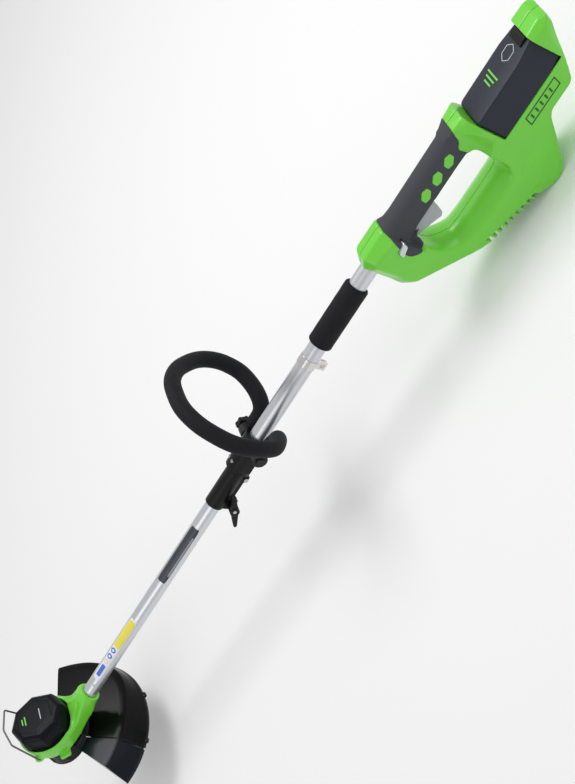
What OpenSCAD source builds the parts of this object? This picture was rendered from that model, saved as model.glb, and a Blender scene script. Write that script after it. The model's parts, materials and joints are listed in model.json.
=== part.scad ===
// Cordless string trimmer with a telescoping shaft, a D-handle and a loop handle.
// Local frame of every module: the shaft axis is X, the housing nose is at x = 0,
// the head is towards -X and the tool's top is +Z. place() moves it onto the floor.

/* [Shaft] */
// Outer diameter of the lower, sliding tube
lower_d = 25.4; // [20:0.1:28]
// Wall of the lower tube
lower_wall = 1.4; // [1:0.1:2.5]
// Wall of the upper tube
upper_wall = 1.25; // [1:0.05:2.5]
// Visible length of the upper tube, from the nose to the coupler
upper_len = 397; // [380:1:520]
// Visible length of the lower tube, from the coupler to the head bracket
lower_len = 452; // [300:1:560]
// How far the lower tube pulls out
extend = 120; // [40:1:130]

/* [Fittings] */
// Length of the foam sleeve behind the nose
sleeve_len = 110; // [80:1:120]
// Thickness of the foam sleeve
sleeve_t = 5.2; // [3:0.1:8]
// Width of the strap ring band
strap_w = 14; // [10:1:20]
// Length of the shaft coupler
coupler_len = 75; // [65:1:95]
// Wall of the shaft coupler
coupler_wall = 1.6; // [1.5:0.1:5]

/* [Loop handle] */
// Height of the loop's top above the shaft axis
loop_h = 166; // [140:1:210]
// Half width of the loop, to its centre line
loop_r = 103; // [85:1:120]
// Diameter of the foam on the loop
loop_d = 26; // [20:1:30]
// Lean of the loop towards the head, in degrees
loop_lean = 7; // [0:1:15]
// Travel of the loop clamp along the shaft
clamp_travel = 90; // [20:1:95]

/* [Housing] */
// Width of the housing at the battery
housing_w = 76; // [72:1:90]
// Wall of the housing shells
wall = 2.5; // [2:0.1:3.5]
// Length of the nose, in front of the grip
nose_len = 66; // [62:1:80]
// Length from the nose to the battery
grip_end = 262; // [255:1:300]
// Width of the grip
grip_w = 36; // [32:1:40]
// Height of the grip
grip_h = 48; // [44:1:52]
// Depth of the finger gap, from the grip to the lower arm
gap_h = 56; // [48:1:66]

/* [Battery] */
// Length of the battery pack
battery_len = 130; // [120:1:150]
// Width of the battery pack inside the bay
battery_w = 66; // [60:1:68]
// Diameter of a battery cell
cell_d = 18.4; // [14:0.1:19]

/* [Head] */
// Tilt of the cutting plane against the shaft, in degrees
head_tilt = 35; // [25:1:45]
// Radius of the guard's rim
guard_r = 161; // [140:1:180]
// Depth of the guard from its deck to its rim
guard_depth = 36; // [28:1:44]
// Radius of the motor can
motor_r = 26; // [22:1:28]
// Radius of the motor cover, across flats
cover_r = 50; // [44:1:54]
// Radius of the spool housing
spool_r = 38; // [34:1:46]

/* [Hidden] */

$fn = 48;
eps = 0.5;
fit = 0.06;    // radial clearance of a running fit
air = 0.6;     // free space between pieces that move past each other
green = [0.45, 0.8, 0.25];
charcoal = [0.16, 0.17, 0.2];
black = [0.06, 0.06, 0.07];
silver = [0.75, 0.76, 0.78];
steel = [0.6, 0.61, 0.63];
pale = [0.72, 0.73, 0.75];
copper = [0.75, 0.45, 0.25];
board = [0.1, 0.35, 0.2];

// Shaft stations
upper_d = lower_d + 2 * fit + 2 * upper_wall;
tube_in = nose_len - 18;
coupler_x = -upper_len - coupler_len;
upper_end = coupler_x + 30;
mouth_x = coupler_x - lower_len;
lower_top = upper_end + extend + 25;
sleeve_x = -sleeve_len - 32;
strap_x = sleeve_x - strap_w - 26;
clamp_len = 66;
clamp_x = coupler_x + coupler_len + 3;
coupler_d = upper_d + 2 * coupler_wall;
knob_x = coupler_x + 14;
knob_z = -coupler_d / 2 - 6;

// Loop handle
pivot_x = clamp_x + 49;
pivot_z = 0;
bolt_r = 3;
cheek_y = upper_d / 2 + 9;
loop_core_r = 7.5;
loop_steps = 3;
eye_w = 2 * loop_core_r + 1;
cap_z = upper_d / 2 + 3.5;
stud_in = upper_d / 2 + 1;
leg_y = cheek_y + air + eye_w / 2;

// Housing
hw = housing_w / 2;
grip_r = grip_w / 2;
over_t = 2.5;
core_r = grip_r - over_t;
core_z = grip_h / 2 - grip_r;
cap_h = 12;
neck_x = grip_end - 30;
nose_h = 28;
rim_z = -37;
bay_gap = 0.8;
bay_x = grip_end;
bay_end = bay_x + battery_len + 2 * bay_gap;
bay_floor = -74;
housing_end = bay_end + 39;
gap_top = -grip_h / 2;
gap_floor = gap_top - gap_h;
foot_x = bay_x - 14;
foot_z = gap_floor - 88;
bay_bottom = bay_floor - 9;
channel_w = 22;
vent_n = 9;
vent_pitch = 10.5;
vent_wall = 7;
under_x = bay_x - 142;
under_rise = 22;
trigger_x = nose_len + 9;
trigger_z = -12;
trigger_w = 14;
button_x = nose_len - 5;
button_z = -7;
button_w = 13;
board_x = bay_x - 96;
lead_r = 2.6;

// Battery
battery_top = 5;
cell_len = 63;
latch_w = 34;
latch_l = 12;
latch_x = bay_x + bay_gap + battery_len - latch_l - 4;

// Head: local frame with the spool axis as Z, the cutting plane at z = 0
head_x = mouth_x - 137;
head_z = -20;
deck_z = guard_depth - 4;
deck_r = guard_r - 20;
hub_rise = 8;
plate_z = deck_z + hub_rise + 3;
plate_t = 8;
collar_z = plate_z + 30;
collar_r = cover_r + 4.5;
cover_top = collar_z + 36;
shaft_r = 4;
can_z = plate_z + plate_t + 3;
can_h = 48;
bearing_r = 11;
socket_r = lower_d / 2 + 5.5;
socket_len = 46;
wire_r = 1.6;
wire_z = plate_z + 10;
wire_u = -34;
wire_y = 36;
rivet_r = 2.1;
screw_r = 42;
tail_len = 100;
guard_from = -60;
guard_to = 77;

// Floor: the housing foot is the lowest point
axis_z = -foot_z;
shift_x = -(housing_end + head_x - spool_r * cos(head_tilt) - 3 * sin(head_tilt)) / 2;
shift_y = -guard_r * (sin(guard_to) + sin(guard_from)) / 2;

module place() {
    translate([shift_x, shift_y, axis_z]) children();
}

// Moves a shape drawn in the head's frame into the shaft's frame
module at_head() {
    translate([head_x, 0, head_z]) rotate([0, head_tilt, 0]) children();
}

// Cylinder along X from x to x + len
module bar_x(r, x, len, z = 0) {
    translate([x, 0, z]) rotate([0, 90, 0]) cylinder(r = r, h = len);
}

// Cylinder along Y from y to y + len
module bar_y(r, x, y, z, len) {
    translate([x, y, z]) rotate([-90, 0, 0]) cylinder(r = r, h = len);
}

// Tube along X
module tube_x(r, bore, x, len) {
    difference() {
        bar_x(r, x, len);
        bar_x(bore, x - eps, len + 2 * eps);
    }
}

// Box given by its two corners
module box(a, b) {
    translate(a) cube(b - a);
}

// Side outline in X and Z, extruded to the full width w around y = 0
module side(points, w) {
    rotate([90, 0, 0]) linear_extrude(height = w, center = true) polygon(points);
}

// Cross-section in Y and Z, extruded along X from x to x + len
module section(points, x, len) {
    translate([x, 0, 0]) rotate([90, 0, 90]) linear_extrude(height = len) polygon(points);
}

// Bar with a stadium section around the shaft axis: the grip
module grip_bar(r, x, len) {
    bar_x(r, x, len, core_z);
    bar_x(r, x, len, -core_z);
    box([x, -r, -core_z], [x + len, r, core_z]);
}

// Compression spring along Z: a helix drawn as stacked rings on a common sleeve
module spring(r, wire, len, turns) {
    pitch = len / turns;
    for (i = [0 : turns - 1])
        translate([0, 0, (i + 0.5) * pitch]) rotate_extrude() translate([r, 0]) circle(r = wire / 2, $fn = 14);
    translate([0, 0, 0.2]) difference() {
        cylinder(r = r + wire / 6, h = len - 0.4);
        translate([0, 0, -eps]) cylinder(r = r - wire / 6, h = len + 2 * eps);
    }
}

// ---- Rear housing ----

// Side outline of the whole D-handle, without its finger gap
function housing_outline() = [
    [0, 14], [16, nose_h], [nose_len, nose_h],
    [nose_len + 8, grip_h / 2 - over_t], [neck_x, grip_h / 2 - over_t], [neck_x, grip_h / 2],
    [bay_x, grip_h / 2 - 5], [bay_x, cap_h], [housing_end - 8, cap_h],
    [housing_end, 6], [housing_end - 18, -24], [housing_end - 36, -50], [housing_end - 58, bay_bottom + 4],
    [housing_end - 66, bay_bottom], [bay_x + 58, bay_bottom],
    [foot_x + 18, foot_z + 14], [foot_x, foot_z], [foot_x - 14, foot_z],
    [foot_x - 36, foot_z + 12], [under_x, foot_z + 12 + under_rise], [under_x - 22, foot_z + 22 + under_rise],
    [10, -62], [0, -50]
];

// Cross-section limit: chamfered towards the top and the bottom
function housing_section() = [
    [-22, nose_h + 1], [22, nose_h + 1], [hw - 4, -10], [hw, rim_z], [hw, gap_floor - 20],
    [hw - 12, foot_z], [-hw + 12, foot_z], [-hw, gap_floor - 20], [-hw, rim_z], [-hw + 4, -10]
];

// Plan limit: the nose is narrower than the battery bay
function housing_plan() = [
    [0, -22], [18, -29], [nose_len, -31], [bay_x - 90, -hw], [housing_end - 26, -hw], [housing_end, -hw + 9],
    [housing_end, hw - 9], [housing_end - 26, hw], [bay_x - 90, hw], [nose_len, 31], [18, 29], [0, 22]
];

// Outline of the finger gap
module gap_shape(w) {
    hull() {
        bar_y(9, nose_len + 18, -w / 2, gap_floor + 28, w, $fn = 32);
        bar_y(22, nose_len + 42, -w / 2, gap_floor + 22, w, $fn = 32);
        bar_y(20, bay_x - 52, -w / 2, gap_floor + 20, w, $fn = 32);
        bar_y(14, bay_x - 46, -w / 2, gap_top - 14, w, $fn = 32);
        bar_y(4, nose_len + 16, -w / 2, gap_top - 4, w, $fn = 32);
    }
}

module housing_block() {
    difference() {
        intersection() {
            side(housing_outline(), housing_w);
            section(housing_section(), 0, housing_end);
            translate([0, 0, foot_z]) linear_extrude(height = nose_h - foot_z) polygon(housing_plan());
        }
        gap_shape(housing_w + 2);
        for (s = [-1, 1]) mirror([0, s < 0 ? 1 : 0, 0]) {
            translate([0, 0, gap_top - 10]) linear_extrude(height = nose_h - gap_top + 11) polygon([
                [nose_len, core_r - 8], [neck_x, core_r - 8], [neck_x, grip_r + 1], [bay_x, 31],
                [bay_x, hw + 1], [nose_len, hw + 1]
            ]);
            section([[8, grip_h / 2 + 1], [32, -4], [hw + 1, -4], [hw + 1, nose_h + 1], [8, nose_h + 1]], neck_x, bay_x - neck_x);
            section([[10, gap_floor + 1], [hw + 1, gap_floor + 1], [hw + 1, gap_floor - 19]], nose_len + 24, bay_x - nose_len - 70);
        }
        box([nose_len, -hw, core_z + 6], [neck_x, hw, nose_h + 1]);
        box([nose_len, -core_r, gap_top - 10], [neck_x, core_r, -core_z + 3]);
        box([bay_x, -hw - 1, rim_z], [bay_end, hw + 1, nose_h + 1]);
    }
    grip_bar(core_r, nose_len - 2, neck_x - nose_len + 4);
}

// Hollows of the housing, cut from both shells
module housing_hollows() {
    bar_x(upper_d / 2, -eps, tube_in + eps);
    box([nose_len, -channel_w / 2, gap_top - 11.5], [bay_x - 34, channel_w / 2, 12]);
    box([bay_x - 34.5, -channel_w / 2, -16], [bay_x - 8, channel_w / 2, 12]);
    box([bay_x, -battery_w / 2 - bay_gap, bay_floor], [bay_end, battery_w / 2 + bay_gap, nose_h]);
    side([
        [bay_x - 30, gap_floor - 12], [bay_x + 30, bay_bottom - 10], [bay_x - 2, foot_z + 26],
        [foot_x - 10, foot_z + 12], [vent_x(vent_n) + 6, under_z(vent_x(vent_n) + 6) + vent_wall],
        [vent_x(vent_n) - 6, gap_floor - 30], [vent_x(vent_n) + 14, gap_floor - 12]
    ], housing_w - 2 * wall - 20);
    for (i = [0 : vent_n - 1])
        box([vent_x(i) - 2.7, -hw, under_z(vent_x(i)) - 6], [vent_x(i) + 2.7, hw, under_z(vent_x(i)) + vent_wall + 2]);
    button_hole(0.35);
    bar_y(2, trigger_x, -12.5, trigger_z, 25);
    for (p = screw_places()) bar_y(1.6, p[0], -screw_y - 1, p[1], 2 * screw_y + 2);
}

// Middle of vent slot i, counted from the foot towards the nose
function vent_x(i) = foot_x - 44 - i * vent_pitch;

// Height of the sloping underside at x
function under_z(x) = foot_z + 12 + (foot_x - 36 - x) * under_rise / (foot_x - 36 - under_x);

screw_y = 12;
// Screws that join the two shells: x and z
function screw_places() = [
    [12, -40], [nose_len - 10, -46], [bay_x - 16, -32], [bay_x + 30, bay_floor - 4],
    [housing_end - 22, -10], [foot_x - 5, foot_z + 6]
];

module housing_half(s) {
    intersection() {
        difference() {
            housing_block();
            housing_hollows();
            for (p = screw_places()) bar_y(3.4, p[0], s < 0 ? -hw - 1 : screw_y, p[1], hw + 1 - screw_y);
        }
        box([-1, s < 0 ? -hw - 1 : 0, foot_z - 1], [housing_end + 1, s < 0 ? 0 : hw + 1, nose_h + 2]);
    }
}

module housing_left() {
    place() color(green) housing_half(-1);
}

module housing_right() {
    place() color(green) housing_half(1);
}

module housing_screws() {
    place() color(steel) for (p = screw_places()) {
        bar_y(1.6, p[0], -screw_y, p[1], 2 * screw_y - 2);
        bar_y(3, p[0], -screw_y - 2.4, p[1], 2.4);
    }
}

// Soft sleeve around the grip with a tongue that runs down beside the trigger
module grip_overmould() {
    start = nose_len + air / 4;
    len = neck_x - air / 4 - start;
    place() color(charcoal) difference() {
        union() {
            grip_bar(grip_r, start, len);
            for (s = [-1, 1]) mirror([0, s < 0 ? 1 : 0, 0]) rotate([90, 0, 0]) translate([0, 0, -grip_r])
                linear_extrude(height = over_t)
                    polygon([[start, 16], [start, -30], [nose_len + 9, -34], [nose_len + 18, -20]]);
        }
        grip_bar(core_r + fit, nose_len - eps, len + 2 * eps);
        button_hole(0.35);
        box([nose_len - eps, -channel_w / 2, gap_top - 12], [trigger_x + 62, channel_w / 2, -core_z]);
        for (p = inlay_places()) for (s = [-1, 1]) inlay(p, s, 0.01);
    }
}

// Hexagon inlays: centre x
function inlay_places() = [for (i = [0 : 2]) nose_len + 74 + 29 * i];

module inlay(x, s, grow) {
    y = s < 0 ? -grip_r - 1 : grip_r - 1.2;
    translate([x, y, 0]) rotate([-90, 0, 0]) rotate([0, 0, -31]) linear_extrude(height = 2.2)
        polygon([for (p = [[13, 0], [6.5, 7], [-6.5, 7], [-13, 0], [-6.5, -7], [6.5, -7]]) p * (1 + grow)]);
}

module hex_inlays() {
    place() color(green) intersection() {
        for (p = inlay_places()) for (s = [-1, 1]) inlay(p, s, 0);
        grip_bar(grip_r, nose_len, bay_x - nose_len);
    }
}

module vent_filter() {
    a = vent_x(-0.3);
    b = vent_x(vent_n - 0.5);
    low = vent_wall + 2.2;
    place() color(black) side([
        [a, under_z(a) + low], [a, under_z(a) + low + 2], [b, under_z(b) + low + 2], [b, under_z(b) + low]
    ], housing_w - 2 * wall - 20);
}

module trigger_switch() {
    place() color(black) union() {
        box([trigger_x + 30, -8, -3.5], [trigger_x + 58, 8, 9]);
        box([trigger_x + 36, -2, -4.8], [trigger_x + 40, 2, -3]);
    }
}

module controller_board() {
    place() color(board) union() {
        box([board_x, -22, gap_floor - 32], [board_x + 70, 22, gap_floor - 30]);
        box([board_x + 8, -14, gap_floor - 30.2], [board_x + 26, 14, gap_floor - 18]);
        for (i = [0 : 2]) translate([board_x + 38 + 11 * i, 0, gap_floor - 30.2]) cylinder(r = 4, h = 11);
    }
}

module battery_terminals() {
    place() color(copper) union() {
        box([bay_x + bay_gap + 16, -20, bay_floor], [bay_x + bay_gap + 34, 20, bay_floor + 2.5]);
        for (i = [-1 : 1])
            box([bay_x + bay_gap + 18, i * 12 - 1, bay_floor + 2], [bay_x + bay_gap + 32, i * 12 + 1, bay_floor + 6.5]);
    }
}

// Lead from the switch down the grip and into the upper tube
module wiring_lead() {
    place() color(black) union() {
        bar_x(lead_r, -upper_len + 60, upper_len - 60 + tube_in - 4);
        bar_x(lead_r + 1.2, tube_in - 22, 18);
    }
}

// ---- Controls ----

module trigger() {
    place() color(pale) difference() {
        side([
            [trigger_x - 5, trigger_z + 5], [trigger_x + 5, trigger_z + 5], [trigger_x + 50, -16],
            [trigger_x + 54, -22], [trigger_x + 52, -36], [trigger_x + 47, -48], [trigger_x + 41, -51],
            [trigger_x + 30, -46], [trigger_x - 3, gap_top - 9], [trigger_x - 5, trigger_z - 5]
        ], trigger_w);
        bar_y(2 + fit, trigger_x, -trigger_w, trigger_z, 2 * trigger_w);
    }
}

module trigger_pin() {
    place() color(steel) bar_y(2, trigger_x, -12, trigger_z, 24);
}

module trigger_spring() {
    place() color(steel) translate([trigger_x + 20, 0, -9.4]) spring(2.6, 0.8, 21.2, 7);
}

module button_hole(gap) {
    translate([button_x, 0, button_z]) rotate([90, 0, 0]) linear_extrude(height = 2 * hw, center = true)
        offset(delta = gap) polygon([[-4, -10], [6, 0], [4, 10], [-6, 0]]);
}

module lock_button() {
    place() color(pale) intersection() {
        button_hole(0);
        box([-1, -31, -40], [nose_len + 20, 27, 20]);
    }
}

// ---- Battery ----

// Cross-section of the battery: a crowned block with drafted sides above the rim
function battery_section() = [
    [-22, battery_top + 3], [22, battery_top + 3], [30, battery_top - 2], [hw - 2.5, rim_z + air],
    [battery_w / 2, rim_z + air], [battery_w / 2, bay_floor + 4], [battery_w / 2 - 3, bay_floor + bay_gap],
    [-battery_w / 2 + 3, bay_floor + bay_gap], [-battery_w / 2, bay_floor + 4], [-battery_w / 2, rim_z + air],
    [-hw + 2.5, rim_z + air], [-30, battery_top - 2]
];

module battery_case() {
    x0 = bay_x + bay_gap;
    place() color(charcoal) difference() {
        section(battery_section(), x0, battery_len);
        box([x0 + 4, -battery_w / 2 + 1.2, bay_floor + 7], [x0 + battery_len - 4, battery_w / 2 - 1.2, -28]);
        box([x0 + 4, -26, -29], [latch_x - 4, 26, -3]);
        box([latch_x - air, -latch_w / 2 - air, -14], [x0 + battery_len + 1, latch_w / 2 + air, battery_top + 4]);
        box([x0 + 12, -22, bay_floor - 1], [x0 + 38, 22, bay_floor + 14]);
    }
}

module battery_cells() {
    place() color(pale) for (i = [0 : 5]) for (k = [0 : 1])
        if (k == 0 || i > 1)
            bar_y(cell_d / 2, bay_x + bay_gap + 15 + (cell_d + 1) * i, -cell_len / 2,
                -28.6 - cell_d / 2 - (cell_d + 0.6) * (1 - k), cell_len);
}

module battery_latch() {
    place() color(black) side([
        [latch_x, -8], [latch_x + latch_l + 3, -8], [latch_x + latch_l + 3, battery_top + 8],
        [latch_x + latch_l - 2, battery_top + 9], [latch_x, battery_top + 3]
    ], latch_w);
}

module latch_spring() {
    place() color(steel) translate([latch_x + latch_l / 2, 0, -14]) spring(3, 0.8, 6, 3);
}

// ---- Upper shaft ----

module upper_tube() {
    place() color(silver) tube_x(upper_d / 2, upper_d / 2 - upper_wall, upper_end, tube_in - upper_end);
}

module foam_sleeve() {
    place() color(black) tube_x(upper_d / 2 + sleeve_t, upper_d / 2, sleeve_x, sleeve_len);
}

// Band clamp with two ears below the shaft for a shoulder strap's hook
module strap_ring() {
    place() color(silver) difference() {
        union() {
            bar_x(upper_d / 2 + 1.4, strap_x, strap_w);
            box([strap_x, -4.5, -upper_d / 2 - 17], [strap_x + strap_w, 4.5, -upper_d / 2]);
        }
        bar_x(upper_d / 2, strap_x - eps, strap_w + 2 * eps);
        box([strap_x - eps, -1.5, -upper_d / 2 - 18], [strap_x + strap_w + eps, 1.5, -upper_d / 2 + 1]);
        bar_y(4, strap_x + strap_w / 2, -6, -upper_d / 2 - 10, 12);
    }
}

// Split sleeve on the end of the upper tube: it squeezes the lower tube
module coupler() {
    place() color(black) difference() {
        union() {
            bar_x(coupler_d / 2, coupler_x, coupler_len);
            box([coupler_x, -9, -coupler_d / 2 - 4], [coupler_x + coupler_len, 9, 0]);
            box([coupler_x + 4, -13, -coupler_d / 2 - 12], [coupler_x + 24, 13, 0]);
            box([coupler_x + coupler_len - 16, -9, -coupler_d / 2 - 9], [coupler_x + coupler_len - 4, 9, 0]);
        }
        bar_x(upper_d / 2, upper_end, coupler_len);
        bar_x(lower_d / 2 + fit, coupler_x - eps, coupler_len);
        box([coupler_x - eps, -1.5, -coupler_d / 2 - 15], [coupler_x + coupler_len + eps, 1.5, -4]);
        bar_y(bolt_r, knob_x, -14, knob_z, 28);
        bar_y(2, coupler_x + coupler_len - 10, -10, -coupler_d / 2 - 4, 20);
    }
}

module coupler_bolt() {
    place() color(steel) union() {
        bar_y(bolt_r, knob_x, -30, knob_z, 43);
        bar_y(5.5, knob_x, 13, knob_z, 4);
    }
}

module coupler_pinch_screw() {
    place() color(steel) union() {
        bar_y(2, coupler_x + coupler_len - 10, -9, -coupler_d / 2 - 4, 18);
        bar_y(3.6, coupler_x + coupler_len - 10, -11.5, -coupler_d / 2 - 4, 2.5);
        bar_y(3.6, coupler_x + coupler_len - 10, 9, -coupler_d / 2 - 4, 2.5);
    }
}

// Two-winged knob on the coupler bolt
module wing_knob() {
    place() color(black) translate([knob_x, -13 - air, knob_z]) rotate([90, -31, 0]) difference() {
        union() {
            cylinder(r = 8, h = 17);
            translate([0, 0, 9]) hull() {
                cylinder(r = 6.5, h = 7, $fn = 24);
                for (s = [-1, 1]) translate([s * 31, 0, 2]) cylinder(r = 3, h = 5, $fn = 16);
            }
        }
        translate([0, 0, -1]) cylinder(r = bolt_r + fit, h = 30);
    }
}

// ---- Loop handle ----

module clamp_block(z0, z1) {
    intersection() {
        union() {
            bar_x(upper_d / 2 + 7, clamp_x, clamp_len);
            box([clamp_x + 8, -cheek_y, -10], [clamp_x + 60, cheek_y, 10]);
        }
        box([clamp_x, -60, z0], [clamp_x + clamp_len, 60, z1]);
    }
}

// Bores of the clamp: the shaft, the pivot studs and the cap screws
module clamp_holes() {
    bar_x(upper_d / 2 + fit, clamp_x - eps, clamp_len + 2 * eps);
    for (y = [-cheek_y - 1, stud_in]) bar_y(bolt_r, pivot_x, y, pivot_z, cheek_y + 1 - stud_in);
    for (s = [-1, 1]) for (x = [14, 44]) translate([clamp_x + x, s * 6, cap_z - 2.5]) {
        cylinder(r = 1.6, h = 20);
        translate([0, 0, 4]) cylinder(r = 3, h = 20);
    }
}

module loop_clamp_top() {
    place() color(black) difference() {
        clamp_block(cap_z, 60);
        clamp_holes();
    }
}

module loop_clamp_base() {
    place() color(black) difference() {
        clamp_block(-60, cap_z);
        clamp_holes();
    }
}

module clamp_screws() {
    place() color(steel) for (s = [-1, 1]) for (x = [14, 44]) translate([clamp_x + x, s * 6, cap_z - 2.3]) {
        cylinder(r = 1.5, h = 4.5);
        translate([0, 0, 4]) cylinder(r = 2.8, h = 2);
    }
}

// Centre line of one half of the loop, in x, y and z from the clamp pivot
function loop_half() = [
    [0, leg_y, 0], [13, leg_y, -2], [27, leg_y + 1, -4], [41, leg_y + 5, -4], [53, leg_y + 15, 2],
    [61, loop_r * 0.64, 13], [65, loop_r * 0.86, 30], [66, loop_r * 0.97, 54], [65, loop_r, 75],
    [62, loop_r * 0.97, 98], [59, loop_r * 0.85, 121], [56, loop_r * 0.62, loop_h - 19],
    [54, loop_r * 0.32, loop_h - 3], [53, 0, loop_h]
];

function loop_path() = concat(
    [for (p = loop_half()) p],
    [for (i = [len(loop_half()) - 2 : -1 : 0]) [loop_half()[i][0], -loop_half()[i][1], loop_half()[i][2]]]
);

// Catmull-Rom point between b and c
function between(a, b, c, d, t) = 0.5 * (2 * b + (c - a) * t + (2 * a - 5 * b + 4 * c - d) * t * t
    + (3 * b - a - 3 * c + d) * t * t * t);

// The path with n points for each of its spans
function smooth(p, n) = concat(
    [for (i = [0 : len(p) - 2]) for (k = [0 : n - 1])
        between(p[max(i - 1, 0)], p[i], p[i + 1], p[min(i + 2, len(p) - 1)], k / n)],
    [p[len(p) - 1]]
);

function unit(v) = v / norm(v);

// Ring i of a round tube: its sides stand square to the path
function ring(p, i, r, sides) = let (
    t = unit(p[min(i + 1, len(p) - 1)] - p[max(i - 1, 0)]),
    a = unit(cross([1, 0, 1], t)),
    b = cross(t, a)
) [for (k = [0 : sides - 1]) p[i] + r * (cos(360 * k / sides) * a + sin(360 * k / sides) * b)];

module sweep(p, r, sides) {
    last = (len(p) - 1) * sides;
    polyhedron(
        points = [for (i = [0 : len(p) - 1]) for (q = ring(p, i, r, sides)) q],
        faces = concat(
            [[for (k = [0 : sides - 1]) k]],
            [[for (k = [sides - 1 : -1 : 0]) last + k]],
            [for (i = [0 : len(p) - 2]) for (k = [0 : sides - 1])
                [i * sides + k, (i + 1) * sides + k, (i + 1) * sides + (k + 1) % sides]],
            [for (i = [0 : len(p) - 2]) for (k = [0 : sides - 1])
                [i * sides + k, (i + 1) * sides + (k + 1) % sides, i * sides + (k + 1) % sides]]
        )
    );
}

// Part of the smoothed loop, leaving out skip points at each end
function loop_part(skip) = let (p = smooth(loop_path(), loop_steps))
    [for (i = [skip : len(p) - 1 - skip]) p[i]];

module loop_tube() {
    place() color(black) difference() {
        union() {
            translate([pivot_x, 0, pivot_z]) sweep(loop_part(0), loop_core_r, 12);
            for (s = [-1, 1]) bar_y(12, pivot_x, s * leg_y - eye_w / 2, pivot_z, eye_w);
        }
        bar_y(bolt_r + fit, pivot_x, -60, pivot_z, 120);
    }
}

module loop_foam() {
    place() color(black) translate([pivot_x, 0, pivot_z]) difference() {
        sweep(loop_part(2 * loop_steps + 1), loop_d / 2, 20);
        sweep(loop_part(2 * loop_steps - 1), loop_core_r + 0.2, 12);
    }
}

// Two studs in the clamp's cheeks: the far one carries the knob
module loop_bolt() {
    out = leg_y + eye_w / 2;
    place() color(steel) {
        bar_y(bolt_r, pivot_x, stud_in, pivot_z, out - stud_in + 14);
        bar_y(bolt_r, pivot_x, -out - 2, pivot_z, out + 2 - stud_in);
        bar_y(7, pivot_x, -out - 5, pivot_z, 4.4);
    }
}

// Lobed knob on the far stud
module loop_knob() {
    place() color(black) translate([pivot_x, leg_y + eye_w / 2 + air, pivot_z]) rotate([-90, 0, 0]) difference() {
        union() {
            cylinder(r = 8, h = 16);
            translate([0, 0, 4]) cylinder(r = 10, h = 11);
            for (a = [0 : 60 : 359]) rotate([0, 0, a]) translate([9.4, 0, 5]) cylinder(r = 3.6, h = 9);
        }
        translate([0, 0, -1]) cylinder(r = bolt_r + fit, h = 20);
    }
}

// ---- Lower shaft and head bracket ----

module lower_tube() {
    start = mouth_x - socket_len + 6;
    place() color(silver) difference() {
        tube_x(lower_d / 2, lower_d / 2 - lower_wall, start, lower_top - start);
        translate([mouth_x + 25, 0, 0]) rotate([50, 0, 0]) cylinder(r = rivet_r + 0.15, h = lower_d);
    }
}

// Cup under the motor, with a socket for the tube and lugs for the guide wire
module head_bracket() {
    place() color(green) difference() {
        union() {
            at_head() translate([0, 0, plate_z]) cylinder(r = collar_r, h = collar_z - plate_z);
            hull() {
                at_head() translate([28, 0, plate_z + 8]) cylinder(r = collar_r - 8, h = 19, $fn = 32);
                bar_x(socket_r, mouth_x - socket_len + 2, socket_len - 14, $fn = 32);
            }
            bar_x(socket_r, mouth_x - socket_len, socket_len);
            at_head() for (s = [-1, 1]) bar_y(6, wire_u, s < 0 ? -wire_y - 8 : wire_y - 6, wire_z, 14);
        }
        bar_x(lower_d / 2, mouth_x - socket_len + 6, socket_len + 1);
        at_head() translate([0, 0, plate_z + plate_t]) cylinder(r = cover_r + 0.6, h = 120);
        at_head() translate([0, 0, collar_z - 0.3]) cylinder(r = cover_r + 4.6, h = 100);
        at_head() translate([0, 0, plate_z - 1]) cylinder(r = shaft_r + 2, h = 20);
        at_head() translate([0, 0, plate_z + 1]) cylinder(r = bearing_r, h = 20);
        at_head() bar_y(wire_r + fit, wire_u, -70, wire_z, 140);
        at_head() for (a = guard_angles()) rotate([0, 0, a]) translate([screw_r, 0, plate_z - 1]) cylinder(r = 1.8, h = 8);
        at_head() for (a = cover_angles()) rotate([0, 0, a]) translate([screw_r, 0, plate_z - 1]) cylinder(r = 1.8, h = 10);
        bar_y(rivet_r + 0.15, mouth_x - 16, -socket_r - 4, 0, 2 * socket_r + 8);
    }
}

// Places of the screws under the plate, around the spool axis
function guard_angles() = [-42, -12, 30, 66];
function cover_angles() = [110, 180, 250];

module bracket_rivets() {
    place() color(steel) union() {
        bar_y(rivet_r, mouth_x - 16, -socket_r - 1.2, 0, 6.4);
        translate([mouth_x + 25, 0, 0]) rotate([50, 0, 0]) translate([0, 0, lower_d / 2 - 1]) cylinder(r = rivet_r, h = 2);
    }
}

module motor_cover() {
    place() at_head() color(charcoal) difference() {
        union() {
            translate([0, 0, plate_z + plate_t]) cylinder(r = cover_r + 0.2, h = collar_z - plate_z - plate_t + 2);
            rotate([0, 0, 22.5]) hull() {
                translate([0, 0, collar_z]) cylinder(r = cover_r + 4, h = 20, $fn = 8);
                translate([0, 0, cover_top - 3]) cylinder(r = cover_r - 6, h = 3, $fn = 8);
            }
        }
        translate([0, 0, plate_z + plate_t - 1]) cylinder(r = screw_r - 5, h = cover_top - plate_z - plate_t - 2.5);
        for (a = cover_angles()) rotate([0, 0, a]) translate([screw_r, 0, plate_z]) cylinder(r = 1.8, h = 20);
    }
}

module cover_screws() {
    place() at_head() color(steel) for (a = cover_angles()) rotate([0, 0, a]) translate([screw_r, 0, 0]) {
        translate([0, 0, plate_z - 2.6]) cylinder(r = 3.4, h = 2.6);
        translate([0, 0, plate_z - 0.4]) cylinder(r = 1.6, h = 19);
    }
}

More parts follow.
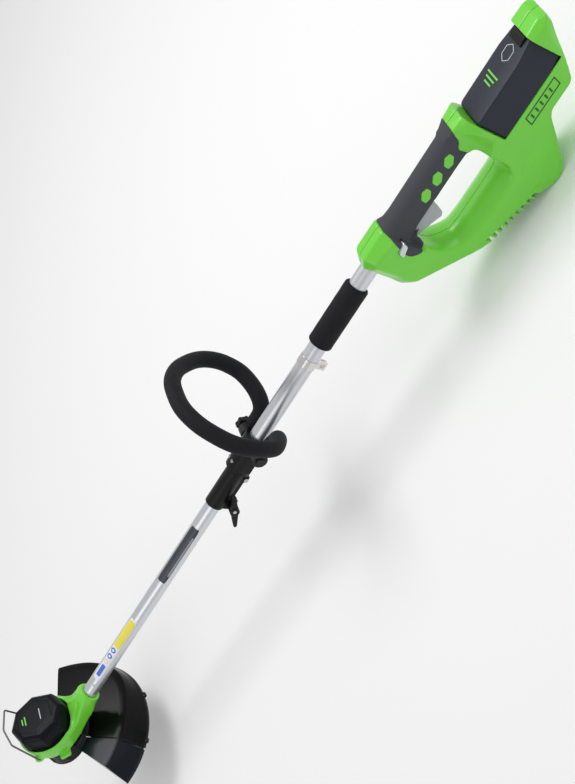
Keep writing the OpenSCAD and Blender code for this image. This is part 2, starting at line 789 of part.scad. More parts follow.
module motor_can() {
    place() at_head() color(steel) translate([0, 0, can_z]) difference() {
        union() {
            cylinder(r = motor_r, h = can_h);
            translate([0, 0, can_h - 0.5]) cylinder(r = bearing_r + 2, h = 4);
        }
        translate([0, 0, 2]) cylinder(r = motor_r - 1.6, h = can_h - 4);
        translate([0, 0, -1]) cylinder(r = shaft_r + 3, h = can_h + 1);
        translate([0, 0, can_h - 3]) cylinder(r = bearing_r, h = 6);
        translate([0, 0, can_h - 3]) cylinder(r = shaft_r + 1, h = 9);
    }
}

module motor_magnets() {
    place() at_head() color(charcoal) for (a = [0, 180]) rotate([0, 0, a - 70]) translate([0, 0, can_z + 6])
        rotate_extrude(angle = 140) translate([motor_r - 6.6, 0]) square([5, can_h - 14]);
}

// Front bearing in the bracket and rear bearing in the can
module motor_bearings() {
    place() at_head() color(steel) for (z = [plate_z + 1, can_z + can_h - 3]) translate([0, 0, z]) difference() {
        cylinder(r = bearing_r, h = 6);
        translate([0, 0, -1]) cylinder(r = shaft_r + 0.03, h = 9);
    }
}

module motor_lead() {
    from = mouth_x - socket_len + 14;
    place() color(black) bar_x(lead_r, from, -upper_len + 54 - extend - from);
}

// ---- Guard ----

// Section of the guard's wall: flat deck, sloping skirt and rim lip
function guard_section() = [
    [30, deck_z + hub_rise], [56, deck_z + hub_rise], [60, deck_z], [deck_r, deck_z], [guard_r - 3, 3],
    [guard_r - 3, -4], [guard_r, -4], [guard_r, 4], [deck_r + 2, deck_z + 3], [62, deck_z + 3],
    [58, deck_z + hub_rise + 3], [30, deck_z + hub_rise + 3]
];

seam_a = -31;
blade_a = -52;
blade_z = 12;
blade_r = guard_r - 15;

module guard_wall(from, to) {
    rotate([0, 0, from]) rotate_extrude(angle = to - from, $fn = 96) polygon(guard_section());
}

// Closing wall along one straight edge of the guard
module guard_edge(a, s) {
    rotate([0, 0, a]) rotate([90, 0, 0]) translate([0, 0, s < 0 ? -3 : 0]) linear_extrude(height = 3)
        polygon([[66, deck_z + 0.5], [deck_r, deck_z + 0.5], [guard_r - 2, 3], [guard_r - 2, -3],
            [guard_r - 20, 2], [100, deck_z - 12]]);
}

module guard_holes() {
    for (a = guard_angles()) rotate([0, 0, a]) translate([screw_r, 0, deck_z + hub_rise - 1]) cylinder(r = 1.8, h = 6);
}

module guard() {
    place() at_head() color(black) difference() {
        union() {
            guard_wall(seam_a, guard_to);
            guard_edge(guard_to, 1);
            for (a = [4, -25]) rotate([0, 0, a]) translate([guard_r - 1, -4, -2.5]) cube([6, 8, 6]);
        }
        guard_holes();
    }
}

module guard_extension() {
    place() at_head() color(black) difference() {
        union() {
            guard_wall(guard_from, seam_a);
            guard_edge(guard_from, -1);
        }
        guard_holes();
        cutter_shape();
    }
}

module guard_screws() {
    place() at_head() color(steel) for (a = guard_angles()) rotate([0, 0, a]) translate([screw_r, 0, 0]) {
        translate([0, 0, deck_z + hub_rise - 2]) cylinder(r = 3.4, h = 2);
        translate([0, 0, deck_z + hub_rise - 0.2]) cylinder(r = 1.6, h = 9);
    }
}

module cutter_shape() {
    rotate([0, 0, blade_a]) translate([blade_r, -7, blade_z]) cube([11, 14, 1.2]);
}

module line_cutter() {
    place() at_head() color(steel) cutter_shape();
}

// ---- Line head ----

head_top = deck_z - 5;
head_low = 3;

module rotor() {
    place() at_head() color(copper) translate([0, 0, can_z + 8]) difference() {
        cylinder(r = motor_r - 7.6, h = can_h - 18);
        translate([0, 0, -1]) cylinder(r = shaft_r, h = can_h);
    }
}

module motor_shaft() {
    place() at_head() color(steel) translate([0, 0, head_low + 4]) cylinder(r = shaft_r, h = can_z + can_h - head_low - 2);
}

module spool_housing() {
    place() at_head() color(black) difference() {
        union() {
            translate([0, 0, head_low]) cylinder(r = spool_r, h = head_top - head_low);
            for (a = [0 : 45 : 359]) rotate([0, 0, a]) translate([spool_r - 1.6, -3, head_low + 1]) cube([3.2, 6, head_top - head_low - 5]);
        }
        translate([0, 0, head_low - 1]) cylinder(r = spool_r - 3, h = head_top - head_low - 3);
        cylinder(r = shaft_r, h = 60);
        rotate([0, 0, 20]) bar_x(3.2, 0, 60, head_low + 10);
    }
}

module spool_cap() {
    place() at_head() color(black) difference() {
        union() {
            translate([0, 0, -6]) cylinder(r = spool_r - 8, h = 3);
            translate([0, 0, -3]) cylinder(r = spool_r, h = 6);
        }
        translate([0, 0, -1]) cylinder(r = spool_r - 3, h = 6);
        for (s = [-1, 1]) translate([s * (spool_r - 4) - 5, -7, -7]) cube([10, 14, 3]);
    }
    place() at_head() color(black) difference() {
        translate([0, 0, -1]) cylinder(r = 9, h = head_low + 4);
        translate([0, 0, head_low]) cylinder(r = shaft_r + 0.05, h = 20);
    }
}

module line_eyelet() {
    place() at_head() color(silver) rotate([0, 0, 20]) difference() {
        union() {
            bar_x(3.2, spool_r - 3, 3.6, head_low + 10);
            bar_x(4.6, spool_r + 0.6, 1.6, head_low + 10);
        }
        bar_x(1.5, spool_r - 8, 20, head_low + 10);
    }
}

module line_tail() {
    place() at_head() color(green) rotate([0, 0, 20]) bar_x(0.85, spool_r - 4.5, tail_len, head_low + 10);
}

// Reel inside the spool housing
module spool() {
    place() at_head() color(pale) difference() {
        union() {
            translate([0, 0, head_low + 2]) cylinder(r = 13, h = 17);
            for (z = [0, 15]) translate([0, 0, head_low + 2 + z]) cylinder(r = spool_r - 5, h = 2);
        }
        cylinder(r = 9.5, h = 60);
    }
}

module spool_line() {
    place() at_head() color(green) difference() {
        translate([0, 0, head_low + 4.1]) cylinder(r = spool_r - 9, h = 12.8);
        cylinder(r = 13.1, h = 60);
    }
}

// ---- Guide wire ----

// Bends of the wire in the head's frame, from one pivot over the front to the other
function guide_path() = [for (q = [
    [0, -wire_y - 5, 0], [0, -wire_y - 11, 0], [-20, -wire_y - 2, 67], [-30, 0, 67],
    [-20, wire_y + 2, 67], [0, wire_y + 11, 0], [0, wire_y + 5, 0]
]) q + [wire_u, 0, wire_z]];

module guide_wire() {
    place() at_head() color(steel) sweep(guide_path(), wire_r, 14);
}

housing_left();
housing_right();
housing_screws();
grip_overmould();
hex_inlays();
vent_filter();
trigger_switch();
controller_board();
battery_terminals();
wiring_lead();
trigger();
trigger_pin();
trigger_spring();
lock_button();
battery_case();
battery_cells();
battery_latch();
latch_spring();
upper_tube();
foam_sleeve();
strap_ring();
coupler();
coupler_bolt();
coupler_pinch_screw();
wing_knob();
loop_clamp_top();
loop_clamp_base();
clamp_screws();
loop_tube();
loop_foam();
loop_bolt();
loop_knob();
lower_tube();
head_bracket();
bracket_rivets();
motor_cover();
cover_screws();
motor_can();
motor_magnets();
motor_bearings();
motor_lead();
guard();
guard_extension();
guard_screws();
line_cutter();
rotor();
motor_shaft();
spool_housing();
spool_cap();
line_eyelet();
line_tail();
spool();
spool_line();
guide_wire();
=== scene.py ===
"""Looks of a battery string trimmer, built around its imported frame."""

from __future__ import annotations

import json
import logging
import math
from collections.abc import Sequence
from dataclasses import dataclass, field
from enum import Enum

import bpy
import numpy as np
from mathutils import Matrix, Vector


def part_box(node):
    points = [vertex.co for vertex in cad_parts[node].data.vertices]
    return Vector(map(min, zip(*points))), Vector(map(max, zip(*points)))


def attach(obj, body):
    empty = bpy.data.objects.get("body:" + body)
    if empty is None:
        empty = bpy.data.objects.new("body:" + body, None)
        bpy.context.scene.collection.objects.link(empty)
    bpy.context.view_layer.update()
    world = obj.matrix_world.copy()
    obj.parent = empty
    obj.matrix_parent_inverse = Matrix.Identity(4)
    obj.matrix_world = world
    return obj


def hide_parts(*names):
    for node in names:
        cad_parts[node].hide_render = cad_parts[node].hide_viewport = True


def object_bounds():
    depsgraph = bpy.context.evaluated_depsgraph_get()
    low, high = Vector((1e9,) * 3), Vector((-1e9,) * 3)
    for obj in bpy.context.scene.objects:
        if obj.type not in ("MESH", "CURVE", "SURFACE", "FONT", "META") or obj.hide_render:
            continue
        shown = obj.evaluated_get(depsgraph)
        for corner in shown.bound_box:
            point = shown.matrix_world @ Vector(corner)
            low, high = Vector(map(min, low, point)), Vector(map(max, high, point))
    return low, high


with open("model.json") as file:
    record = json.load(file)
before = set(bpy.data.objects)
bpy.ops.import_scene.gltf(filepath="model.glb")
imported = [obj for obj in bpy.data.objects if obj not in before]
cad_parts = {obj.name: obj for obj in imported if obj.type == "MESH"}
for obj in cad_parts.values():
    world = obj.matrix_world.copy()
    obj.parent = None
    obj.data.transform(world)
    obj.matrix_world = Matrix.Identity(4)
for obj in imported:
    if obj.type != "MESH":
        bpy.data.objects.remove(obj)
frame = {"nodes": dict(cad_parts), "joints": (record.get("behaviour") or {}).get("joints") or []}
cad_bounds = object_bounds()

log = logging.getLogger("trimmer")
MM = 0.001
Array = np.ndarray
Points = Sequence[tuple[float, float]]
Surface = tuple[Array, list[Array]]


# ---- Where things are ----


def box_mm(node: str) -> Array:
    """Give a node's lowest and highest corners in millimetres."""
    return np.array([tuple(corner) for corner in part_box(node)]) / MM


def joint_of(name: str) -> dict:
    """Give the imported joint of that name."""
    return next(j for j in frame["joints"] if j["name"] == name)


@dataclass(frozen=True)
class Datum:
    """A place to build in: an origin in millimetres and three unit axes.

    A point (a, b, c) lies at origin + a * axes[0] + b * axes[1] + c * axes[2].
    """

    origin: Array
    axes: Array

    def place(self, points: Array) -> Array:
        """Turn local millimetres into metres in the frame.

        Args:
            points: rows of local coordinates.

        Returns:
            Rows of frame coordinates in metres.
        """
        return (self.origin + np.asarray(points, float) @ self.axes) * MM


def shaft_datum() -> Datum:
    """Give the datum with its origin on the shaft's axis at the housing's nose."""
    tube = box_mm("upper_tube")
    nose = box_mm("housing_left")[0][0]
    return Datum(np.array([nose, tube[:, 1].mean(), tube[:, 2].mean()]), np.eye(3))


def head_datum() -> Datum:
    """Give the datum with its third axis along the line head's axle."""
    spin = joint_of("head_spin")
    up = np.array(spin["axis"], float)
    up /= np.linalg.norm(up)
    out = np.array([up[2], 0.0, -up[0]])
    return Datum(np.array(spin["pos_m"], float) / MM, np.stack([out, np.array([0.0, 1.0, 0.0]), up]))


# ---- Fields: a solid is where its signed distance is below zero ----


def both(a: Array, b: Array, r: float = 0.0) -> Array:
    """Keep what is in both solids, with the shared edge rounded to radius r."""
    if r <= 0:
        return np.maximum(a, b)
    return np.hypot(np.maximum(a + r, 0), np.maximum(b + r, 0)) + np.minimum(np.maximum(a, b) + r, 0) - r


def either(a: Array, b: Array, r: float = 0.0) -> Array:
    """Join two solids, with the inner corner filled to radius r."""
    return -both(-a, -b, r)


def without(a: Array, b: Array, r: float = 0.0) -> Array:
    """Cut solid b out of solid a, with the rim rounded to radius r."""
    return both(a, -b, r)


def ease(t: Array) -> Array:
    """Rise smoothly from 0 to 1 as t goes from 0 to 1: t squared times (3 - 2t)."""
    t = np.clip(t, 0, 1)
    return t * t * (3 - 2 * t)


def inside(distance: Array, blur: float) -> Array:
    """Give 1 well inside an outline and 0 outside, easing over the blur width."""
    return ease(0.5 - distance / blur)


def rounded(points: Points, cuts: int = 2, ratio: float = 0.2) -> Array:
    """Cut each corner of a closed outline again and again (Chaikin's rule).

    Args:
        points: the outline's corners.
        cuts: how many times.
        ratio: share of each side that a cut takes.

    Returns:
        The new corners.
    """
    p = np.asarray(points, float)
    for _ in range(cuts):
        q = np.roll(p, -1, 0)
        p = np.stack([p + (q - p) * ratio, q + (p - q) * ratio], 1).reshape(-1, p.shape[1])
    return p


def outline(x: Array, z: Array, points: Array) -> Array:
    """Give the signed distance to a closed outline in a plane.

    For each side: the distance to its nearest point, with a sign that flips
    each time a ray to the right crosses a side.

    Args:
        x: first coordinates of the sample points.
        z: second coordinates of the sample points.
        points: the outline's corners.

    Returns:
        The distances, below zero inside.
    """
    p = np.asarray(points, float)
    best = np.full(np.broadcast(x, z).shape, 1e18)
    sign = np.ones_like(best)
    for (ax, az), (bx, bz) in zip(p, np.roll(p, -1, 0)):
        ex, ez = bx - ax, bz - az
        wx, wz = x - ax, z - az
        t = np.clip((wx * ex + wz * ez) / (ex * ex + ez * ez + 1e-12), 0, 1)
        best = np.minimum(best, (wx - ex * t) ** 2 + (wz - ez * t) ** 2)
        up, down = (z >= az) & (z < bz), (z >= bz) & (z < az)
        side = ex * wz - ez * wx
        sign = np.where((up & (side > 0)) | (down & (side < 0)), -sign, sign)
    return sign * np.sqrt(best)


def side_outline(x: Array, z: Array, points: Array) -> Array:
    """Give the signed distance to a side-view outline, shaped to fill a grid.

    Args:
        x: the grid's first axis.
        z: the grid's third axis.
        points: the outline's corners as rows of (x, z).

    Returns:
        The distances, the same all the way across the second axis.
    """
    return outline(x[:, :, 0], z[0, 0][None, :], points)[:, None, :]


def stadium(ay: Array, z: Array, half_y: Array, half_z: Array, r: Array) -> Array:
    """Give the field of a bar along X: a box section with corners of radius r."""
    return np.hypot(np.maximum(ay - half_y + r, 0), np.maximum(np.abs(z) - half_z + r, 0)) - r


def scaled(section: Array, share: float) -> Array:
    """Scale an outline about its middle."""
    middle = section.mean(0)
    return middle + (section - middle) * share


def ramp(x: Array, *pairs: tuple[float, float]) -> Array:
    """Read a height off straight lines through the given (place, height) pairs."""
    a = np.array(pairs, float)
    return np.interp(x, a[:, 0], a[:, 1])


def chamfer(a: Array, b: Array, wa: float | Array, wb: float | Array) -> Array:
    """Give the flat that cuts wa off surface a and wb off surface b."""
    return (a * wb + b * wa + wa * wb) / np.hypot(wa, wb)


def slab(v: Array, low: float, high: float) -> Array:
    """Give the distance outside the span from low to high."""
    return np.maximum(low - v, v - high)


@dataclass(frozen=True)
class Grid:
    """A block of sample points: its low corner, high corner and step in mm."""

    low: tuple[float, float, float]
    high: tuple[float, float, float]
    step: float

    def axes(self) -> tuple[Array, Array, Array]:
        """Give the three coordinate arrays, shaped to broadcast."""
        x, y, z = (np.arange(a, b + self.step, self.step) for a, b in zip(self.low, self.high))
        return x[:, None, None], y[None, :, None], z[None, None, :]

    def skin(self, values: Array) -> Surface:
        """Put a skin on the zero level of a field (naive surface nets).

        Each cell whose corners differ in sign gets one vertex, the mean of the
        zero crossings on its edges. Each grid edge that changes sign joins the
        four cells round it into a face.

        Args:
            values: the field at every sample point.

        Returns:
            Vertices in mm, and a list with one array of four-sided faces.
        """
        v = np.asarray(values, float)
        solid = v < 0
        n = np.array(v.shape) - 1
        offsets = np.array([(i, j, k) for i in (0, 1) for j in (0, 1) for k in (0, 1)])
        count = sum(solid[i:i + n[0], j:j + n[1], k:k + n[2]].astype(np.int8) for i, j, k in offsets)
        cells = np.argwhere((count > 0) & (count < 8))
        number = np.full(tuple(n), -1)
        number[tuple(cells.T)] = np.arange(len(cells))
        corner = np.stack([v[tuple((cells + o).T)] for o in offsets], 1)
        total, hits = np.zeros((len(cells), 3)), np.zeros(len(cells))
        for a in range(8):
            for bit in (1, 2, 4):
                b = a | bit
                if a & bit:
                    continue
                fa, fb = corner[:, a], corner[:, b]
                cross = (fa < 0) != (fb < 0)
                t = np.where(cross, fa / np.where(cross, fa - fb, 1), 0)[:, None]
                total += np.where(cross[:, None], offsets[a] * (1 - t) + offsets[b] * t, 0)
                hits += cross
        points = np.array(self.low) + (cells + total / hits[:, None]) * self.step
        faces = []
        for axis in range(3):
            near = np.take(solid, range(n[axis]), axis)
            far = np.take(solid, range(1, n[axis] + 1), axis)
            edge = np.argwhere(near != far)
            u, w = (axis + 1) % 3, (axis + 2) % 3
            keep = (edge[:, u] > 0) & (edge[:, w] > 0) & (edge[:, u] < n[u]) & (edge[:, w] < n[w])
            edge = edge[keep]
            du, dw = np.eye(3, dtype=int)[u], np.eye(3, dtype=int)[w]
            quad = np.stack([number[tuple((edge - d).T)] for d in (du + dw, dw, 0 * du, du)], 1)
            out = near[tuple(edge.T)]
            quad[~out] = quad[~out][:, ::-1]
            faces.append(quad)
        return points, [np.concatenate(faces)]


# ---- Surfaces on a grid of two parameters ----


def swept(rings: Array, closed_path: bool = False, caps: bool = True) -> Surface:
    """Join a stack of closed rings into one skin.

    Args:
        rings: shape (rings, points in a ring, 3).
        closed_path: whether the last ring joins the first.
        caps: whether the two ends get a flat face.

    Returns:
        Vertices and faces.
    """
    n, m, _ = rings.shape
    i = np.arange(n if closed_path else n - 1)[:, None]
    j = np.arange(m)[None, :]
    a, b = (i % n) * m, ((i + 1) % n) * m
    k = (j + 1) % m
    quads = np.stack([a + j, a + k, b + k, b + j], -1).reshape(-1, 4)
    faces = [quads]
    if caps and not closed_path:
        faces += [np.arange(m)[None, ::-1], ((n - 1) * m + np.arange(m))[None, :]]
    return rings.reshape(-1, 3), faces


def curve_through(points: Array, per_span: int) -> Array:
    """Run a Catmull-Rom curve through the points.

    Each span is the cubic whose slope at a point is half the step between that
    point's two neighbours.

    Args:
        points: the points to pass through, in order.
        per_span: steps between one point and the next.

    Returns:
        The points of the curve.
    """
    p = np.concatenate([2 * points[:1] - points[1:2], points, 2 * points[-1:] - points[-2:-1]])
    t = np.linspace(0, 1, per_span, endpoint=False)[None, :, None]
    a, b, c, d = (p[k:len(p) - 3 + k, None] for k in range(4))
    q = 0.5 * (2 * b + (c - a) * t + (2 * a - 5 * b + 4 * c - d) * t**2 + (3 * b - a - 3 * c + d) * t**3)
    return np.concatenate([q.reshape(-1, points.shape[1]), points[-1:]])


def pipe(path: Array, radius: float | Array, sides: int = 24, up: tuple = (0.0, 0.0, 1.0)) -> Surface:
    """Carry a circle along a path, square to it.

    The circle's first axis is the tangent crossed with up; its second is the
    first crossed with the tangent.

    Args:
        path: the points to follow.
        radius: one radius, or one for each point.
        sides: points round the circle.
        up: a direction that is never along the path.

    Returns:
        Vertices and faces.
    """
    tangent = np.gradient(path, axis=0)
    tangent /= np.linalg.norm(tangent, axis=1)[:, None]
    side = np.cross(tangent, up)
    side /= np.linalg.norm(side, axis=1)[:, None]
    top = np.cross(side, tangent)
    a = np.linspace(0, 2 * math.pi, sides, endpoint=False)[None, :, None]
    r = np.broadcast_to(np.asarray(radius, float), len(path))[:, None, None]
    return swept(path[:, None] + r * (np.cos(a) * side[:, None] + np.sin(a) * top[:, None]))


def lathe_x(profile: Points, sides: int = 64) -> Surface:
    """Turn a closed profile about the X axis.

    Args:
        profile: corners as (x, radius).
        sides: steps round the axis.

    Returns:
        Vertices and faces.
    """
    p = np.asarray(profile, float)
    a = np.linspace(0, 2 * math.pi, sides, endpoint=False)[:, None]
    rings = np.stack([np.broadcast_to(p[:, 0], (sides, len(p))), p[:, 1] * np.cos(a), p[:, 1] * np.sin(a)], -1)
    return swept(rings, closed_path=True)


def joined(*parts: Surface) -> Surface:
    """Put several skins into one list of vertices and faces."""
    points, faces, start = [], [], 0
    for p, f in parts:
        points.append(p)
        faces += [g + start for g in f]
        start += len(p)
    return np.concatenate(points), faces


# ---- Finishes ----


class Grain(Enum):
    """What the surface of a finish shows close up."""

    MOULDED = "fine spark-eroded texture of moulded plastic"
    GLOSSY = "polished moulding with faint flow and scuffs"
    RUBBER = "matt soft-touch rubber"
    FOAM = "closed-cell foam"
    DRAWN = "drawn tube, brushed along its length"
    STEEL = "turned or bent steel"
    PRINTED = "film or ink"


@dataclass(frozen=True)
class Finish:
    """One finish: colour, gloss and how much its grain shows."""

    name: str
    colour: tuple[float, float, float]
    rough: float
    grain: Grain
    metal: float = 0.0
    coat: float = 0.0
    relief: float = 0.15
    size: float = 0.0012
    shift: float = 0.08
    wear: float = 0.0
    gloss: float = 0.5

    def make(self) -> bpy.types.Material:
        """Build the node material once and give it again after that."""
        known = bpy.data.materials.get(self.name)
        if known:
            return known
        mat = bpy.data.materials.new(self.name)
        mat.use_nodes = True
        tree = mat.node_tree
        shader = tree.nodes["Principled BSDF"]
        shader.inputs["Metallic"].default_value = self.metal
        shader.inputs["Coat Weight"].default_value = self.coat
        shader.inputs["Coat Roughness"].default_value = 0.12
        shader.inputs["Specular IOR Level"].default_value = self.gloss
        where = self._stretched(tree)
        self._colour(tree, shader, where)
        self._roughness(tree, shader, where)
        self._relief(tree, shader, where)
        return mat

    def _stretched(self, tree: bpy.types.NodeTree) -> bpy.types.NodeSocket:
        """Give object coordinates, drawn out along X for a drawn tube."""
        coord = tree.nodes.new("ShaderNodeTexCoord")
        mapping = tree.nodes.new("ShaderNodeMapping")
        if self.grain is Grain.DRAWN:
            mapping.inputs["Scale"].default_value = (0.012, 1.0, 1.0)
        tree.links.new(coord.outputs["Object"], mapping.inputs["Vector"])
        return mapping.outputs["Vector"]

    def _noise(self, tree: bpy.types.NodeTree, where: bpy.types.NodeSocket, size: float,
               detail: float) -> bpy.types.NodeSocket:
        """Add a noise whose grains are about size metres across."""
        noise = tree.nodes.new("ShaderNodeTexNoise")
        noise.inputs["Scale"].default_value = 1.0 / size
        noise.inputs["Detail"].default_value = detail
        tree.links.new(where, noise.inputs["Vector"])
        return noise.outputs["Fac"]

    def _colour(self, tree: bpy.types.NodeTree, shader: bpy.types.Node, where: bpy.types.NodeSocket) -> None:
        """Mix a darker and a lighter tone by a broad noise, and pale the worn edges."""
        base = np.array(self.colour)
        mix = tree.nodes.new("ShaderNodeMix")
        mix.data_type = "RGBA"
        mix.inputs["A"].default_value = (*(base * (1 - self.shift)), 1)
        mix.inputs["B"].default_value = (*np.minimum(base * (1 + self.shift), 1), 1)
        tree.links.new(self._noise(tree, where, 0.03, 4.0), mix.inputs["Factor"])
        out = mix.outputs["Result"]
        if self.wear:
            geometry = tree.nodes.new("ShaderNodeNewGeometry")
            edge = tree.nodes.new("ShaderNodeMapRange")
            edge.inputs["From Min"].default_value = 0.53
            edge.inputs["From Max"].default_value = 0.60
            edge.inputs["To Max"].default_value = self.wear
            tree.links.new(geometry.outputs["Pointiness"], edge.inputs["Value"])
            worn = tree.nodes.new("ShaderNodeMix")
            worn.data_type = "RGBA"
            worn.inputs["B"].default_value = (*(base * 0.55 + 0.35), 1)
            tree.links.new(edge.outputs["Result"], worn.inputs["Factor"])
            tree.links.new(out, worn.inputs["A"])
            out = worn.outputs["Result"]
        tree.links.new(out, shader.inputs["Base Color"])

    def _roughness(self, tree: bpy.types.NodeTree, shader: bpy.types.Node, where: bpy.types.NodeSocket) -> None:
        """Let the gloss vary a little, as handling and moulding leave it."""
        span = tree.nodes.new("ShaderNodeMapRange")
        span.inputs["To Min"].default_value = self.rough * 0.82
        span.inputs["To Max"].default_value = min(1.0, self.rough * 1.2)
        tree.links.new(self._noise(tree, where, 0.008, 5.0), span.inputs["Value"])
        tree.links.new(span.outputs["Result"], shader.inputs["Roughness"])

    def _relief(self, tree: bpy.types.NodeTree, shader: bpy.types.Node, where: bpy.types.NodeSocket) -> None:
        """Raise the grain: cells for foam, fine noise for all else."""
        bump = tree.nodes.new("ShaderNodeBump")
        bump.inputs["Strength"].default_value = self.relief
        bump.inputs["Distance"].default_value = self.size * 0.5
        if self.grain is Grain.FOAM:
            cells = tree.nodes.new("ShaderNodeTexVoronoi")
            cells.inputs["Scale"].default_value = 1.0 / self.size
            tree.links.new(where, cells.inputs["Vector"])
            tree.links.new(cells.outputs["Distance"], bump.inputs["Height"])
        else:
            tree.links.new(self._noise(tree, where, self.size, 2.0), bump.inputs["Height"])
        tree.links.new(bump.outputs["Normal"], shader.inputs["Normal"])


GREEN = Finish("green_moulding", (0.160, 0.64, 0.040), 0.30, Grain.MOULDED, coat=0.15, relief=0.05, shift=0.05,
               wear=0.10)
CHARCOAL = Finish("charcoal_moulding", (0.026, 0.031, 0.043), 0.36, Grain.MOULDED, relief=0.08, wear=0.06, gloss=0.2)
COVER = Finish("cover_moulding", (0.003, 0.004, 0.006), 0.32, Grain.GLOSSY, relief=0.03, wear=0.04, gloss=0.12)
BLACK = Finish("black_moulding", (0.005, 0.005, 0.006), 0.38, Grain.MOULDED, relief=0.08, wear=0.05, gloss=0.2)
GUARD = Finish("guard_moulding", (0.002, 0.002, 0.0025), 0.20, Grain.GLOSSY, relief=0.02, size=0.004, wear=0.03,
               gloss=0.14)
GUARD_END = Finish("guard_extension_moulding", (0.004, 0.005, 0.010), 0.22, Grain.GLOSSY, relief=0.02, size=0.004,
                   gloss=0.2)
GRIP = Finish("grip_rubber", (0.005, 0.007, 0.012), 0.50, Grain.RUBBER, relief=0.12, size=0.0009, gloss=0.12)
FOAM = Finish("handle_foam", (0.011, 0.011, 0.013), 0.66, Grain.FOAM, relief=0.30, size=0.0011, gloss=0.16)
PALE = Finish("pale_moulding", (0.42, 0.43, 0.46), 0.38, Grain.MOULDED, relief=0.05)
SILVER = Finish("button_silver", (0.66, 0.68, 0.72), 0.30, Grain.MOULDED, metal=0.3, relief=0.04)
TUBE = Finish("satin_aluminium", (0.66, 0.67, 0.71), 0.30, Grain.DRAWN, metal=0.85, relief=0.10, size=0.0008,
              shift=0.04)
STRAP = Finish("strap_band_metal", (0.72, 0.70, 0.68), 0.22, Grain.STEEL, metal=1.0, relief=0.06)
STEEL = Finish("bright_steel", (0.50, 0.50, 0.52), 0.28, Grain.STEEL, metal=1.0, relief=0.10, size=0.0006)
WIRE = Finish("dark_guide_steel", (0.16, 0.16, 0.17), 0.30, Grain.STEEL, metal=0.9, relief=0.10, size=0.0006)
COPPER = Finish("wound_copper", (0.62, 0.30, 0.15), 0.35, Grain.STEEL, metal=1.0, relief=0.4, size=0.0009)
MAGNET = Finish("magnet_grey", (0.12, 0.12, 0.13), 0.45, Grain.STEEL, metal=0.6, relief=0.1)
WRAP = Finish("cell_wrap", (0.05, 0.22, 0.42), 0.30, Grain.PRINTED, relief=0.03)
BOARD = Finish("circuit_green", (0.02, 0.15, 0.06), 0.42, Grain.PRINTED, relief=0.12)
CABLE = Finish("cable_jacket", (0.02, 0.02, 0.022), 0.45, Grain.RUBBER, relief=0.1)
LINE = Finish("trimmer_line", (0.30, 0.62, 0.08), 0.28, Grain.PRINTED, coat=0.2, relief=0.05)
FILM = Finish("white_film", (0.80, 0.82, 0.86), 0.30, Grain.PRINTED, relief=0.02, shift=0.03)
FILM_DARK = Finish("dark_film", (0.035, 0.042, 0.055), 0.30, Grain.PRINTED, relief=0.02)
FILM_GREY = Finish("grey_film", (0.30, 0.33, 0.38), 0.34, Grain.PRINTED, relief=0.02)
FILM_YELLOW = Finish("yellow_film", (0.82, 0.72, 0.06), 0.34, Grain.PRINTED, relief=0.02)
FILM_BLUE = Finish("blue_film", (0.06, 0.17, 0.62), 0.34, Grain.PRINTED, relief=0.02)
FILM_PINK = Finish("pink_film", (0.86, 0.55, 0.60), 0.34, Grain.PRINTED, relief=0.02)
INK_GREEN = Finish("green_ink", (0.20, 0.66, 0.10), 0.34, Grain.PRINTED, relief=0.02)
INK_PALE = Finish("pale_ink", (0.62, 0.66, 0.70), 0.34, Grain.PRINTED, relief=0.02)
INK_DARK = Finish("dark_green_ink", (0.012, 0.10, 0.02), 0.34, Grain.PRINTED, relief=0.02)


# ---- Making pieces ----


def put(name: str, data: bpy.types.ID) -> bpy.types.Object:
    """Add an object that holds the given data to the scene."""
    thing = bpy.data.objects.new(name, data)
    bpy.context.scene.collection.objects.link(thing)
    return thing


def solid(name: str, surface: Surface, datum: Datum, finish: Finish, body: str, slot: str,
          replaces: Sequence[str] = (), crease: float = 40.0) -> bpy.types.Object:
    """Make one piece and hang it on its body.

    Args:
        name: the piece's name.
        surface: vertices in local mm, and faces.
        datum: the place that the vertices are in.
        finish: what it is made of.
        body: the body that it moves with.
        slot: the record's material slot; not used.
        replaces: CAD nodes that it stands for.
        crease: edges sharper than this angle in degrees stay sharp.

    Returns:
        The new object.
    """
    points, faces = surface
    mesh = bpy.data.meshes.new(name)
    mesh.from_pydata(datum.place(points).tolist(), [], [f for group in faces for f in group.tolist()])
    mesh.validate()
    mesh.materials.append(finish.make())
    mesh.shade_smooth()
    mesh.set_sharp_from_angle(angle=math.radians(crease))
    piece = put(name, mesh)
    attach(piece, body)
    if replaces:
        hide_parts(*replaces)
    log.info("%s: %d faces on %s", name, len(mesh.polygons), body)
    return piece


def softened(node: str, body: str, finish: Finish, voxel: float, rounds: int) -> bpy.types.Object:
    """Copy a CAD node with its edges rounded, as a moulding's are.

    The copy is merged, remeshed on a fine grid and relaxed, so every sharp
    edge gets a radius of about one step.

    Args:
        node: the CAD node.
        body: the body that it moves with.
        finish: what it is made of.
        voxel: the grid's step in mm.
        rounds: how many times each vertex moves to its neighbours' mean.

    Returns:
        The new piece, which replaces the node.
    """
    mesh = frame["nodes"][node].data.copy()
    mesh.name = name = f"{node}_moulded"
    piece = put(name, mesh)
    bpy.context.view_layer.update()
    for kind, values in (
        ("WELD", {"merge_threshold": 1e-5}),
        ("REMESH", {"mode": "VOXEL", "voxel_size": voxel * MM, "use_smooth_shade": True}),
        ("SMOOTH", {"factor": 0.5, "iterations": rounds}),
    ):
        mod = piece.modifiers.new(kind.title(), kind)
        for key, value in values.items():
            setattr(mod, key, value)
    made = bpy.data.meshes.new_from_object(piece.evaluated_get(bpy.context.evaluated_depsgraph_get()))
    made.name = name
    piece.modifiers.clear()
    piece.data = made
    made.materials.clear()
    made.materials.append(finish.make())
    made.shade_smooth()
    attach(piece, body)
    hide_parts(node)
    log.info("%s: %d faces on %s", name, len(made.polygons), body)
    return piece


